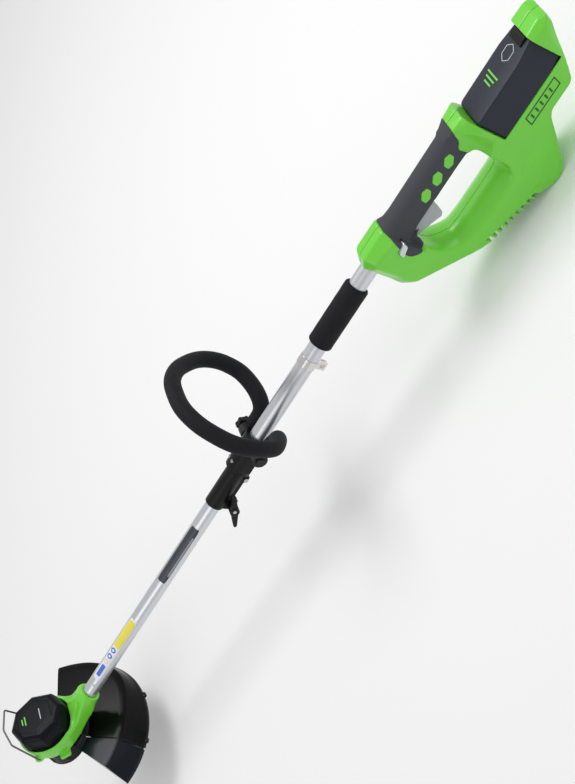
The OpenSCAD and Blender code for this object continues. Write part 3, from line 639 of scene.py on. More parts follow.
def dress(finish: Finish, *nodes: str) -> None:
    """Give CAD nodes whose shape is right a better material."""
    for node in nodes:
        mesh = frame["nodes"][node].data
        mesh.materials.clear()
        mesh.materials.append(finish.make())


def patch_on_tube(x: Sequence[float], angle: Sequence[float], radius: float, thick: float, corner: int) -> Surface:
    """Wrap a flat outline round a tube.

    The outline is cut into a fan of rings that shrink to its middle, then laid
    on two cylinders a film's thickness apart.

    Args:
        x: corner places along the tube.
        angle: corner places round the tube in degrees, paired with x.
        radius: the tube's radius.
        thick: the film's thickness.
        corner: how often the corners are cut.

    Returns:
        Vertices and faces.
    """
    ratio = 0.07 if len(x) < 8 else 0.25
    flat = rounded(list(zip(x, np.radians(angle) * radius)), corner, ratio)
    steps = np.arange(0, 1.0001, 1 / 24)[:-1, None, None]
    dense = (flat[None] * (1 - steps) + np.roll(flat, -1, 0)[None] * steps).transpose(1, 0, 2).reshape(-1, 2)
    dense = dense[::4]
    centre = dense.mean(0)
    scale = np.linspace(1, 0.02, 14)[:, None, None]
    rings = centre + (dense[None] - centre) * scale
    both_sides = np.concatenate([rings, rings[::-1]])
    r = np.concatenate([np.full(len(rings), radius + thick), np.full(len(rings), radius - 0.05)])[:, None]
    a = both_sides[..., 1] / radius
    path = np.stack([both_sides[..., 0], r * np.cos(a), r * np.sin(a)], -1)
    order = np.concatenate([path[len(rings) - 1::-1], path[:len(rings) - 1:-1]])
    return swept(order)


# ---- Sub-assemblies ----


@dataclass
class RearHousing:
    """The green D-handle: two shells, soft grip and its inlays. Sizes in mm."""

    datum: Datum
    nose: float = 66.0
    neck: float = 232.0
    bay: float = 262.0
    bay_end: float = 393.6
    rim: float = -44.0
    floor: float = -74.0
    half: float = 39.0
    step: float = 1.4
    vents: int = 9
    vent_pitch: float = 10.5
    inlay_places: tuple[float, ...] = (140.0, 169.0, 198.0)
    inlay_turn: float = math.radians(31)
    sides: Array = field(default_factory=lambda: rounded([
        (0, 14), (16, 28), (66, 28), (74, 21.5), (232, 21.5), (240, 24), (262, 22), (266, 12), (392, 12), (421, 12),
        (432.6, 6), (427, -8), (414.6, -24), (396.6, -50), (374.6, -79), (366.6, -83), (320, -83),
        (264, -156), (248, -168), (232, -168), (210, -157), (120, -134), (98, -124), (10, -62), (0, -50),
    ], 2, 0.10))
    gap: Array = field(default_factory=lambda: rounded([
        (78, -24), (217, -24), (228, -31), (231, -46), (229, -64), (219, -78), (206, -81), (104, -81),
        (88, -70), (76, -56), (74, -38),
    ], 3, 0.2))

    def field_of(self, x: Array, y: Array, z: Array) -> Array:
        """Give the closed D-handle's field, before the two shells part.

        A side outline is limited by a width that narrows to the nose and to
        both edges, with a long flat along the outline; the finger gap is cut
        with a drop towards its rims; the upper bar joins nose and bay.

        Args:
            x: places along the shaft.
            y: places across it.
            z: heights.

        Returns:
            The field, below zero inside.
        """
        ay = np.abs(y)
        d = side_outline(x, z, self.sides)
        w = np.minimum(
            ramp(x, (0, 23), (18, 29.5), (66, 33), (172, 39), (410, 39.5), (432, 34)),
            ramp(z, (-168, 33), (-110, 38), (-60, 39), (-40, 39), (-8, 35), (29, 29)),
        )
        keen = ramp(z, (-168, 0.28), (-64, 0.28), (-34, 1.0))
        reach = ramp(x, (0, 15), (60, 17), (90, 26), (200, 27), (262, 20), (320, 12), (380, 8), (432, 11)) * keen
        drop = ramp(x, (0, 13), (60, 14), (90, 12), (200, 13), (262, 10), (320, 6), (380, 6), (432, 9)) * keen
        body = both(both(d, ay - w, 2.6), chamfer(d, ay - w, reach, drop), 1.6)
        body = body + 0 * z
        open_x = slab(x, self.nose + 1, self.bay + 1)
        neck = 15 + 5 * ease((x - 222) / 14) + 20 * ease((x - self.neck) / 32) + 40 * ease((-25 - z) / 36)
        body = without(body, np.maximum(open_x, neck - ay), 3.0)
        body = without(body, np.maximum(slab(x, self.nose + 1, 217.5), -24 - z) + 0 * y, 2.0)
        crown = 17 * (ay / self.half) ** 2 * ease((-40 - z) / 25)
        g = outline(np.broadcast_to(x, body.shape), z + crown, self.gap)
        body = without(body, g, 5.0)
        half_y = ramp(x, (60, 15.5), (225, 15.5), (240, 19), (262, 30))
        half_z = ramp(x, (60, 21.5), (225, 21.5), (238, 24), (262, 23))
        r = np.minimum(half_y, 15.0)
        bar = stadium(ay, z, half_y, half_z, r)
        bar = both(bar, slab(x, 60, 262), 1.0)
        return either(body, bar, 6.0)

    def hollow(self, f: Array, x: Array, y: Array, z: Array) -> Array:
        """Cut the battery bay, the finger opening, the vents and the groove.

        Args:
            f: the field to cut.
            x: places along the shaft.
            y: places across it.
            z: heights.

        Returns:
            The field with its hollows.
        """
        ay = np.abs(y)
        bay = np.maximum(slab(x, self.bay, self.bay_end), self.rim - z)
        wall = side_outline(x, z, self.sides) + 2.6
        pocket = np.maximum(np.maximum(slab(x, self.bay, self.bay_end), ay - 35.8), np.maximum(self.floor - z, wall))
        f = without(f, either(bay, pocket), 1.2)
        f = without(f, np.maximum(np.hypot(y, z) - 14.0, x - 48), 0.8)
        f = without(f, np.maximum(np.maximum(slab(x, self.nose, 228), ay - 11), slab(z, -26, 12)), 0.5)
        low = -156 + (212 - x) * 22 / 92
        for i in range(self.vents):
            middle = 204 - i * self.vent_pitch
            slot = np.maximum(np.abs(x - middle) - 3.2, slab(z - low, -8, 12))
            f = without(f, slot + 0 * y, 0.9)
        inner = np.maximum(side_outline(x, z, rounded([
            (232, -92), (290, -92), (258, -142), (236, -156), (110, -124), (122, -104), (128, -92),
        ])), ay - 24)
        f = without(f, inner + 0 * y, 1.0)
        groove = np.abs(z - low - 15 - ramp(x, (100, -3), (206, 0), (232, 3))) - 0.7
        groove = np.maximum(np.maximum(groove, slab(x, 112, 232)), 24 - ay)
        return f + 1.1 * inside(groove + 0 * y, 1.6)

    def button_outline(self) -> Array:
        """Give the lock button's slanted outline as rows of (x, z)."""
        lo, hi = box_mm("lock_button") - self.datum.origin
        x, z = (lo[0] + hi[0]) / 2 - 2.5, (lo[2] + hi[2]) / 2 - 1.0
        signs = ((-1, -1), (1, -1), (1, 1), (-1, 1))
        return np.array([(x + 8.8 * a + 1.4 * b, z + 2.3 * a + 5.0 * b) for a, b in signs])

    def button_hole(self, f: Array, x: Array, y: Array, z: Array) -> Array:
        """Cut room for the lock button on the left side of the nose."""
        d = side_outline(x, z, self.button_outline()) - 0.45
        return without(f, np.maximum(d, y + 21.0), 0.5)

    def button(self) -> None:
        """Build the lock button: a slanted plate with softened edges."""
        base = rounded(self.button_outline(), 2, 0.1)
        rings = []
        for y, k in ((-26.5, 1.0), (-34.6, 1.0), (-35.2, 0.96), (-35.5, 0.86)):
            p = scaled(base, k)
            rings.append(np.stack([p[:, 0], np.full(len(p), y), p[:, 1]], -1))
        solid("lock_button_cap", swept(np.array(rings)), self.datum, SILVER, "lock_button", "pale_plastic",
              ["lock_button"], 35)

    def shells(self) -> None:
        """Build both shells, parted on the middle plane by a fine seam."""
        for side, name in ((-1, "left"), (1, "right")):
            low = (-3.0, -40.6 if side < 0 else -2.0, -171.0)
            high = (435.0, 2.0 if side < 0 else 40.6, 30.5)
            grid = Grid(low, high, self.step)
            x, y, z = grid.axes()
            f = self.hollow(self.field_of(x, y, z), x, y, z)
            f = self.button_hole(f, x, y, z)
            f = both(f, -side * y + 0.03, 0.3)
            solid(f"housing_shell_{name}", grid.skin(f), self.datum, GREEN, "rear_unit", "green_shell",
                  [f"housing_{name}"], 50)

    def grip(self) -> None:
        """Build the soft grip: a stadium bar with a flared lip, a tongue down
        the nose and an S-shaped rear edge."""
        region = rounded([
            (69, 33), (66.5, 20), (59, 2), (51, -20), (54, -30), (64, -38.5), (80, -38.5), (90, -30), (96, -24),
            (150, -27), (217, -27), (218.5, -17), (217, -5), (222, 0.5), (229, 4), (240, 25), (242, 33),
        ], 2, 0.2)
        grid = Grid((46.0, -36.0, -41.0), (246.0, 36.0, 30.0), 1.15)
        x, y, z = grid.axes()
        ay = np.abs(y)
        half_y = ramp(x, (60, 27), (68, 23), (76, 19.4), (90, 18), (214, 18), (240, 20.6))
        half_z = ramp(x, (60, 29), (68, 27.2), (78, 25), (92, 24), (225, 24), (240, 25))
        r = np.minimum(half_y, 17.0)
        bar = stadium(ay, z, half_y, half_z, r)
        bar = both(bar, slab(x, 66, 244), 1.0)
        skin = either(self.field_of(x, y, z) - 0.9, bar, 3.0)
        cut = side_outline(x, z, region) + 0 * y
        f = both(skin, cut, 1.2)
        f = without(f, np.maximum(np.maximum(slab(x, 62, 136), ay - 11.2), slab(z, -42, -15)), 1.0)
        f = self.button_hole(f, x, y, z)
        cos, sin = math.cos(self.inlay_turn), math.sin(self.inlay_turn)
        for middle in self.inlay_places:
            u = (x - middle) * cos + z * sin
            v = -(x - middle) * sin + z * cos
            hexagon = np.maximum(np.abs(v), np.abs(v) * 0.5 + np.abs(u) * 0.78) - 7.6
            f = f + 1.4 * inside(hexagon, 1.4) * (ay > 12)
        solid("grip_sleeve", grid.skin(f), self.datum, GRIP, "rear_unit", "grip_rubber", ["grip_overmould"], 60)

    def inlays(self) -> None:
        """Build the green hexagons: domed plates that follow the grip's side."""
        cos, sin = math.cos(self.inlay_turn), math.sin(self.inlay_turn)
        corners = rounded([(13, 0), (6.5, 7), (-6.5, 7), (-13, 0), (-6.5, -7), (6.5, -7)], 2, 0.12)
        scale = np.array([1.0, 1.0, 0.97, 0.9, 0.7, 0.4, 0.05])
        lift = np.array([-1.6, -0.2, 0.15, 0.35, 0.5, 0.55, 0.55])
        parts = []
        for middle in self.inlay_places:
            for side in (-1, 1):
                p = corners[None] * scale[:, None, None]
                xx = middle + p[..., 0] * cos - p[..., 1] * sin
                zz = p[..., 0] * sin + p[..., 1] * cos
                bow = 17 - np.sqrt(np.maximum(17**2 - np.maximum(np.abs(zz) - 7, 0) ** 2, 0))
                yy = side * (18.0 - bow + lift[:, None])
                rings = np.stack([xx, yy, zz], -1)
                parts.append(swept(rings if side < 0 else rings[:, ::-1]))
        solid("grip_inlays", joined(*parts), self.datum, GREEN, "rear_unit", "green_shell", ["hex_inlays"], 35)

    def side_mark(self) -> None:
        """Print a plain framed panel on each side below the battery."""
        frames = []
        for side in (-1, 1):
            for a, b in ((0, 1), (1, 2), (2, 3), (3, 0)):
                corner = np.array([(300, -52), (366, -52), (362, -66), (296, -66)], float)
                p, q = corner[a], corner[b]
                t = np.linspace(-0.01, 1.01, 12)[:, None]
                path = p * (1 - t) + q * t
                frames.append(self.printed_line(path, side, 1.0))
            for k in range(5):
                path = np.array([(308 + 10.5 * k - s * 2, -55.5 - s * 7) for s in np.linspace(0, 1, 8)])
                frames.append(self.printed_line(path, side, 1.5))
        solid("side_panel_print", joined(*frames), self.datum, INK_DARK, "rear_unit", "black_plastic")

    def printed_line(self, path: Array, side: int, r: float) -> Surface:
        """Lay a thin round line on one side of the shell."""
        return pipe(np.stack([path[:, 0], side * self.side_y(path), path[:, 1]], -1), r, 8, (0.3, 1.0, 0.2))

    def side_y(self, path: Array) -> Array:
        """Find the shell's half-width under points of the side view."""
        ys = np.linspace(20, 40, 161)
        f = np.stack([
            self.field_of(np.array(px).reshape(1, 1, 1), ys[None, :, None], np.array(pz).reshape(1, 1, 1))[0, :, 0]
            for px, pz in path
        ])
        return ys[np.argmax(f > 0, 1)] - 0.35

    def build(self) -> None:
        """Build every piece of the rear housing."""
        self.shells()
        self.grip()
        self.inlays()
        self.side_mark()
        softened("trigger", "trigger", PALE, 0.7, 6)
        self.button()
        dress(STEEL, "housing_screws", "trigger_pin", "trigger_spring")
        dress(COPPER, "battery_terminals")
        dress(BLACK, "trigger_switch", "vent_filter")
        dress(BOARD, "controller_board")
        dress(CABLE, "wiring_lead")


@dataclass
class Battery:
    """The pack: a crowned block with a crease along each side. Sizes in mm."""

    datum: Datum
    front: float = 262.8
    back: float = 392.8
    top: float = 5.0

    def case(self) -> None:
        """Build the case: a flat top, sides that lean out, a slanted facet at
        the rear corner and a lip behind."""
        grid = Grid((259.0, -41.0, -76.0), (396.0, 41.0, 10.0), 1.15)
        x, y, z = grid.axes()
        ay = np.abs(y)
        width = ramp(z, (-44, 38.6), (5, 30.5))
        d_top = z - self.top + 2.2 * (ay / 30) ** 2
        lean = (ay - width) * 0.985
        f = both(d_top + 0 * x, lean + 0 * x, 1.6)
        f = both(f, self.front - x, 2.2)
        f = both(f, x - self.back, 1.6)
        facet = (x - 372) * 0.18 + (ay - width) * 0.98 + ramp(z, (-44, 0.6), (2, 2.6))
        f = both(f, facet, 1.0)
        front_facet = (268 - x) * 0.55 + (ay - width) * 0.83
        f = both(f, front_facet, 1.2)
        lower = both(both(ay - 33.4, self.floor_of(z), 1.0), both(self.front - x, x - self.back, 2), 1.0)
        shell = side_outline(x, z, RearHousing(self.datum).sides) + 3.4
        lower = both(lower, shell, 1.0)
        f = either(both(f, -43.4 - z, 0.5), lower, 0.3)
        solid("battery_shell", grid.skin(f), self.datum, CHARCOAL, "battery", "charcoal_shell", ["battery_case"], 50)

    @staticmethod
    def floor_of(z: Array) -> Array:
        """Give the span of the part that drops into the bay."""
        return slab(z, -73.0, -42.0)

    def marks(self) -> None:
        """Print a plain hexagon outline and three level bars on the top."""
        z = self.top + 0.05
        turn = np.arange(7) * math.pi / 3
        hexagon = np.stack([360 + 13 * np.cos(turn), 11.5 * np.sin(turn), np.full(7, z - 0.12)], -1)
        ring = [pipe(np.linspace(hexagon[k], hexagon[k + 1], 6), 0.55, 8, (0, 0, 1.0)) for k in range(6)]
        solid("pack_outline", joined(*ring), self.datum, INK_PALE, "battery", "charcoal_shell")
        bars = []
        for k, length in enumerate((9.0, 12.0, 15.0)):
            t = np.linspace(-length, length, 14)
            zz = z - 2.2 * (t / 30) ** 2 - 0.25
            bars.append(pipe(np.stack([np.full(14, 312.0 + 6.5 * k), t, zz], -1), 1.5, 10, (1.0, 0, 0)))
        solid("pack_level_bars", joined(*bars), self.datum, INK_GREEN, "battery", "charcoal_shell")

    def build(self) -> None:
        """Build every piece of the pack."""
        self.case()
        self.marks()
        latch = softened("battery_latch", "battery_latch", BLACK, 0.6, 3)
        lip = (self.datum.origin[2] + self.top + 0.5) * MM
        for vertex in latch.data.vertices:
            vertex.co.z = min(vertex.co.z, lip + (vertex.co.z - lip) * 0.3)
        dress(WRAP, "battery_cells")
        dress(STEEL, "latch_spring")


@dataclass
class Shaft:
    """Both tubes, the foam sleeve, strap ring, coupler and labels. Sizes in mm."""

    datum: Datum
    labels: float = 12.7

    def sleeve(self) -> None:
        """Build the foam sleeve: a turned tube with full round ends."""
        lo, hi = box_mm("foam_sleeve") - self.datum.origin
        outer = hi[2]
        inner = (box_mm("upper_tube") - self.datum.origin)[1][2] + 0.02
        a = np.linspace(0, math.pi / 2, 7)
        round_r = 4.0
        front = [(lo[0] + round_r - round_r * math.cos(t), outer - round_r + round_r * math.sin(t)) for t in a]
        along = np.linspace(lo[0] + 6, hi[0] - 6, 40)
        span = [(v, outer - 0.25 * (1 - math.cos((v - lo[0]) * 0.25)) * 0.3) for v in along]
        back = [(hi[0] - round_r + round_r * math.sin(t), outer - round_r + round_r * math.cos(t)) for t in a]
        profile = [(lo[0], inner)] + front + span + back + [(hi[0], inner)]
        piece = solid("shaft_foam", lathe_x(profile[::-1], 72), self.datum, FOAM, "rear_unit", "foam", ["foam_sleeve"])

    def label(self, name: str, finish: Finish, corners: Sequence[tuple[float, float]], lift: float = 0.15,
              cuts: int = 2) -> None:
        """Lay one film patch on the lower tube.

        Args:
            name: the piece's name.
            finish: the film's finish.
            corners: places along the tube in mm and round it in degrees.
            lift: the film's top above the tube.
            cuts: how often the corners are cut.
        """
        x, a = zip(*corners)
        patch = patch_on_tube(x, a, self.labels, lift, cuts)
        solid(name, patch, self.datum, finish, "lower_unit", "tube_aluminium")

    def disc(self, x: float, angle: float, radius: float) -> list[tuple[float, float]]:
        """Give the corners of a round patch."""
        turn = np.arange(10) * math.pi / 5
        return [(x + radius * math.cos(t), angle + math.degrees(radius * math.sin(t) / self.labels)) for t in turn]

    def films(self) -> None:
        """Lay the plain patches that stand for the data plate and the stickers."""
        self.label("data_label", FILM_DARK, [(-522, 92), (-522, 168), (-644, 168), (-644, 92)], 0.15, 3)
        self.label("data_strip", FILM_GREY, [(-540, 150), (-540, 163), (-628, 163), (-628, 150)], 0.25, 1)
        self.label("sticker_base", FILM, [(-738, 88), (-738, 158), (-884, 158), (-884, 88)], 0.1, 2)
        self.label("sticker_yellow", FILM_YELLOW, [(-742, 92), (-742, 154), (-806, 154), (-806, 92)], 0.2, 2)
        for k, x in enumerate((-814.0, -828.0)):
            self.label(f"sticker_dot_{k + 1}", FILM_BLUE, self.disc(x, 118, 5.4), 0.2, 1)
            self.label(f"sticker_dot_{k + 1}_middle", FILM, self.disc(x, 118, 2.6), 0.3, 1)
        self.label("sticker_ring", FILM_PINK, self.disc(-842, 118, 5.2), 0.2, 1)
        self.label("sticker_ring_middle", FILM, self.disc(-842, 118, 3.2), 0.3, 1)
        self.label("sticker_block", FILM_BLUE, [(-850, 104), (-850, 140), (-876, 140), (-876, 104)], 0.2, 2)

    def build(self) -> None:
        """Build and dress every piece of the shaft."""
        self.sleeve()
        self.films()
        softened("coupler", "rear_unit", BLACK, 0.8, 3)
        softened("wing_knob", "wing_knob", BLACK, 0.6, 4)
        dress(TUBE, "upper_tube", "lower_tube")
        dress(STRAP, "strap_ring")
        dress(STEEL, "coupler_bolt", "coupler_pinch_screw", "bracket_rivets")


@dataclass
class LoopHandle:
    """The foam loop, its tube and its clamp. Sizes in mm."""

    datum: Datum
    foam_r: float = 13.0

    def path(self) -> Array:
        """Give the loop's centre line from one end of the foam to the other."""
        pivot = np.array(joint_of("loop_tilt")["pos_m"]) / MM - self.datum.origin
        leg, r, h = 31.61, 103.0, 166.0
        half = np.array([
            (13, leg, -2), (27, leg + 1, -4), (41, leg + 5, -4), (53, leg + 15, 2),
            (61, r * 0.64, 13), (65, r * 0.86, 30), (66, r * 0.97, 54), (65, r, 75),
            (62, r * 0.97, 98), (59, r * 0.85, 121), (56, r * 0.62, h - 19), (54, r * 0.32, h - 3), (53, 0, h),
        ])
        other = half[-2::-1] * [1, -1, 1]
        return curve_through(np.concatenate([half, other]), 8) + pivot

    def foam(self) -> None:
        """Build the foam loop: a round bar with full round ends."""
        path = self.path()
        run = np.concatenate([[0], np.cumsum(np.linalg.norm(np.diff(path, axis=0), axis=1))])
        total = run[-1]
        keep = np.unique(np.concatenate([
            np.linspace(0, 5, 7), np.arange(5, total - 5, 3.4), np.linspace(total - 5, total, 7),
        ]))
        fine = np.stack([np.interp(keep, run, path[:, k]) for k in range(3)], 1)
        end = np.clip(np.minimum(keep, total - keep) / 5.0, 0, 1)
        radius = self.foam_r - 4.5 * (1 - np.sqrt(1 - (1 - end) ** 2))
        piece = solid("loop_foam_cover", pipe(fine, radius, 40, (1.0, 0.0, 0.15)), self.datum, FOAM, "loop_handle",
                      "foam", ["loop_foam"], 60)

    def build(self) -> None:
        """Build and dress every piece of the loop handle."""
        self.foam()
        softened("loop_clamp_top", "loop_clamp", BLACK, 0.8, 3)
        softened("loop_clamp_base", "loop_clamp", BLACK, 0.8, 3)
        softened("loop_knob", "loop_knob", BLACK, 0.6, 3)
        dress(BLACK, "loop_tube", "loop_bolt")
        dress(STEEL, "clamp_screws")


@dataclass
class CuttingHead:
    """Bracket, motor cover, guard, wire and line head. Sizes in mm."""

    datum: Datum
    shaft: Datum
    deck: float = 32.0
    plate: float = 43.0
    collar: float = 73.0
    top: float = 107.0
    rim_r: float = 161.0
    seam: float = -33.0
    start: float = -57.0
    stop: float = 77.0
    rod_r: float = 1.6
    rod_bend: float = 4.0

    def shaft_points(self, x: Array, y: Array, z: Array) -> tuple[Array, Array]:
        """Find sample points of the head on the shaft.

        Args:
            x: first coordinates in the head's datum.
            y: second coordinates.
            z: third coordinates.

        Returns:
            Places along the shaft's axis, and distances from it.
        """
        rel = self.datum.origin - self.shaft.origin
        out, up = self.datum.axes[0], self.datum.axes[2]
        along = rel[0] + x * out[0] + z * up[0]
        high = rel[2] + x * out[2] + z * up[2]
        return along + 0 * y, np.hypot(y, high)

    def bracket(self) -> None:
        """Build the yoke: a cup round the cover's foot that flows into the socket."""
        grid = Grid((-62.0, -70.0, 38.0), (128.0, 70.0, 124.0), 1.35)
        x, y, z = grid.axes()
        ay, r = np.abs(y), np.hypot(x, y)
        cup = both(r - ramp(z, (42, 48), (58, 53.0), (76, 54.0)), slab(z, self.plate, self.collar + 2), 2.0)
        cup = both(cup, -60 - x, 2)
        along, far = self.shaft_points(x, y, z)
        mouth = -924.0
        socket = both(far - ramp(along, (mouth - 46, 20.5), (mouth, 18.2)), slab(along, mouth - 56, mouth), 1.6)
        wide = ramp(x, (10, 51), (36, 43), (56, 31), (74, 22), (100, 17.5))
        under = ramp(x, (10, 43), (50, 46), (80, 60), (110, 84))
        over = ramp(x, (10, 73), (44, 74), (60, 80), (84, 101), (110, 112))
        arm = both(both(ay - wide, slab(z, under, over), 7.0), slab(x, 8, 92), 5.0)
        f = either(either(cup, arm, 8.0), socket, 7.0)
        panel = np.maximum(slab(x, 36, 74), np.abs(ay - ramp(x, (36, 33), (60, 20), (74, 13))) - 4.5)
        f = f + 1.8 * inside(panel + 0 * z, 4.0) * (z > 55)
        for side in (-1, 1):
            lug = both(np.hypot(x + 32, z - 55) - 7.5, slab(side * y, 30, 46), 1.2)
            ear = both(both(slab(x, 2, 22), slab(side * y, 40, 61), 3.0), slab(z, 43.5, 49), 1.2)
            f = either(f, either(lug, ear), 2.5)
        f = without(f, np.maximum(np.hypot(x + 32, z - 55) - 1.9, 20 - ay), 0.3)
        f = without(f, np.maximum(far - 12.75, mouth - 44 - along), 0.8)
        f = without(f, np.maximum(r - 50.6, 58 - z), 0.8)
        f = without(f, np.maximum(r - 50.4, 51 - z), 0.4)
        f = without(f, np.maximum(r - 11, z - 60), 0.4)
        solid("head_yoke", grid.skin(f), self.datum, GREEN, "lower_unit", "green_shell", ["head_bracket"], 50)

    @staticmethod
    def flats(x: Array, y: Array, count: int, turn: float = 0.0, stretch: float = 1.0) -> Array:
        """Give the distance from the middle to the nearest flat of a regular block.

        For each flat: the part of (x, y) that lies along its outward direction.

        Args:
            x: first coordinates.
            y: second coordinates.
            count: how many flats.
            turn: the first flat's direction in degrees.
            stretch: how much longer the block is along the first axis.

        Returns:
            The greatest of those parts.
        """
        angles = [math.radians(turn + 360 / count * k) for k in range(count)]
        return np.maximum.reduce([x * math.cos(t) / stretch + y * math.sin(t) for t in angles])

    @staticmethod
    def spoke(angle: float) -> tuple[Array, Array]:
        """Give the directions along and square to a radius at an angle in degrees."""
        t = math.radians(angle)
        return np.array([math.cos(t), math.sin(t)]), np.array([-math.sin(t), math.cos(t)])

    def cover(self) -> None:
        """Build the motor cover: an eight-sided block with leaning facets, a
        raised six-sided panel with a rim line, and side slots."""
        grid = Grid((-66.0, -64.0, 48.0), (62.0, 64.0, 114.0), 1.2)
        x, y, z = grid.axes()
        u = x + 1.5
        eight = self.flats(u, y * 1.10, 8, 22.5)
        side = (eight - ramp(z, (60, 49.5), (76, 50.0), (94, 48.0), (112, 45.5))) * 0.98
        f = both(side, z - self.top, 1.6)
        f = both(f, (eight - 42.5) * 0.62 + (z - self.top) * 0.785 + 1.5, 2.0)
        f = both(f, 72.6 - z, 0.8)
        foot = both(np.hypot(x, y) - 49.4, slab(z, 51.4, 73.5), 0.6)
        f = either(f, foot, 0.4)
        six = self.flats(u + 2, y, 6, stretch=1.08)
        f = f - 0.8 * inside(six - 29 + 0 * z, 2.4) * (z > 98)
        f = f + 0.6 * inside(np.abs(six - 26) - 0.5 + 0 * z, 1.6) * (z > 98)
        for k in range(8):
            t = math.radians(22.5 + 45 * k)
            across = -u * math.sin(t) + y * math.cos(t)
            out = u * math.cos(t) + y * math.sin(t)
            slot = np.maximum(np.maximum(np.abs(across) - 11, slab(z, 80, 82)), 40 - out)
            f = f + 1.0 * inside(slot, 1.6)
        solid("motor_shroud", grid.skin(f), self.datum, COVER, "lower_unit", "charcoal_shell", ["motor_cover"], 50)

    def cover_marks(self) -> None:
        """Print a plain strip and two short bars on the raised panel."""
        z = self.top + 0.75
        bars = [self.printed_bar(-26.0 + 5.5 * k, half, z, 1.3) for k, half in enumerate((6.0, 9.0))]
        solid("cover_bars", joined(*bars), self.datum, INK_GREEN, "lower_unit", "charcoal_shell")
        bar = self.printed_bar(8.0, 11.0, z, 0.9)
        solid("cover_strip", bar, self.datum, INK_PALE, "lower_unit", "charcoal_shell")

    @staticmethod
    def printed_bar(x: float, half: float, z: float, r: float) -> Surface:
        """Give a thin round bar across the panel."""
        return pipe(np.stack([np.full(10, x), np.linspace(-half, half, 10), np.full(10, z)], -1), r, 10, (1.0, 0, 0))

    def guard_rings(self, start: float, stop: float) -> Array:
        """Give the guard's wall sections between two angles.

        Each section is a closed loop from the hub over the deck and a ridge
        down the skirt to the rim and back inside; the ridge's radius swings
        with the angle, so the skirt widens and narrows.

        Args:
            start: the first section's angle in degrees.
            stop: the last one's.

        Returns:
            One ring of points for each section.
        """
        angle = np.radians(np.arange(start, stop + 0.01, 1.5))
        deg = np.degrees(angle)
        ridge = ramp(deg, (-60, 133), (-28, 130), (-5, 134), (13, 146), (28, 149), (52, 141), (70, 136), (77, 136))
        ridge = np.convolve(np.pad(ridge, 6, "edge"), np.ones(13) / 13, "valid")
        r = ramp(deg, (-60, self.rim_r), (20, self.rim_r), (45, self.rim_r - 4), (self.stop, self.rim_r - 9))
        fall = ridge + (r - ridge) * 0.55
        zero = 0 * ridge
        loop = [
            (zero + 30, self.plate), (zero + 56, self.plate), (zero + 60, 41), (zero + 64, self.deck + 3.4),
            (ridge - 14, self.deck + 3.2), (ridge - 3, self.deck + 2.4), (ridge + 1, self.deck + 0.6),
            (ridge + 3, self.deck - 2.5), (fall, 15.5),
            (zero + r - 2, 5.5), (zero + r - 0.6, 4.2), (zero + r, 2.5), (zero + r, -3.2), (zero + r - 0.8, -4),
            (zero + r - 3, -4), (zero + r - 3.3, 2), (fall - 3, 12.8), (ridge - 1, self.deck - 3.5),
            (ridge - 6, self.deck - 0.6), (zero + 66, self.deck + 0.3), (zero + 60, self.deck + 2),
            (zero + 56, 39.8), (zero + 30, 39.8),
        ]
        rr = np.stack([a + 0 * zero for a, _ in loop], 1)
        zz = np.array([b for _, b in loop])[None] + 0 * rr
        return np.stack([rr * np.cos(angle)[:, None], rr * np.sin(angle)[:, None], zz], -1)

    def end_wall(self, angle: float, side: float) -> Surface:
        """Build the upright flange that closes the guard at one end."""
        radial, square = self.spoke(angle)
        far = 158.5 if angle < 30 else 149.5
        section = rounded([(64, 34), (far - 25, 34), (far, 5), (far, -3.5), (140, 0), (100, 18)], 2, 0.12)
        rings = []
        for s, k in ((0.3, 0.985), (0.8, 1.0), (3.2, 1.0), (3.7, 0.985)):
            p = scaled(section, k)
            flat = p[:, :1] * radial + side * s * square
            rings.append(np.concatenate([flat, p[:, 1:]], 1))
        rings = np.array(rings)
        return swept(rings if side > 0 else rings[::-1])

    def guard(self) -> None:
        """Build the guard and its extension, parted by a seam."""
        main = [swept(self.guard_rings(self.seam, self.stop)), self.end_wall(self.stop, -1),
                self.end_wall(self.seam + 0.3, -1)]
        for angle in (4, -28.5):
            main.append(self.boss(angle))
        solid("guard_shell", joined(*main), self.datum, GUARD, "lower_unit", "guard_plastic", ["guard"], 32)
        extension = joined(swept(self.guard_rings(self.start, self.seam - 0.12)), self.end_wall(self.start, 1))
        solid("guard_extension_shell", extension, self.datum, GUARD_END, "lower_unit", "guard_plastic",
              ["guard_extension"], 32)

    def blade(self) -> None:
        """Build the line cutter: a small steel plate inside the guard's end."""
        radial, square = self.spoke(self.start)
        section = np.array([(134, -1), (152, -1), (152, 5), (140, 15), (134, 15)], float)
        rings = np.array([
            np.concatenate([section[:, :1] * radial + s * square, section[:, 1:]], 1) for s in (4.2, 5.8)
        ])
        solid("cutter_blade", swept(rings), self.datum, STEEL, "lower_unit", "steel", ["line_cutter"], 30)

    def boss(self, angle: float) -> Surface:
        """Build a rounded screw boss on the rim."""
        t = math.radians(angle)
        section = rounded([(158, -4.6), (165.2, -4.6), (165.2, 4.6), (158, 4.6)], 2, 0.2)
        rings = []
        for z, k in ((-2.4, 0.8), (-1.8, 0.96), (-1, 1), (2.4, 1), (3.2, 0.96), (3.6, 0.8)):
            p = scaled(section, k)
            rings.append(np.stack([p[:, 0] * math.cos(t) - p[:, 1] * math.sin(t),
                                   p[:, 0] * math.sin(t) + p[:, 1] * math.cos(t), np.full(len(p), z)], -1))
        return swept(np.array(rings))

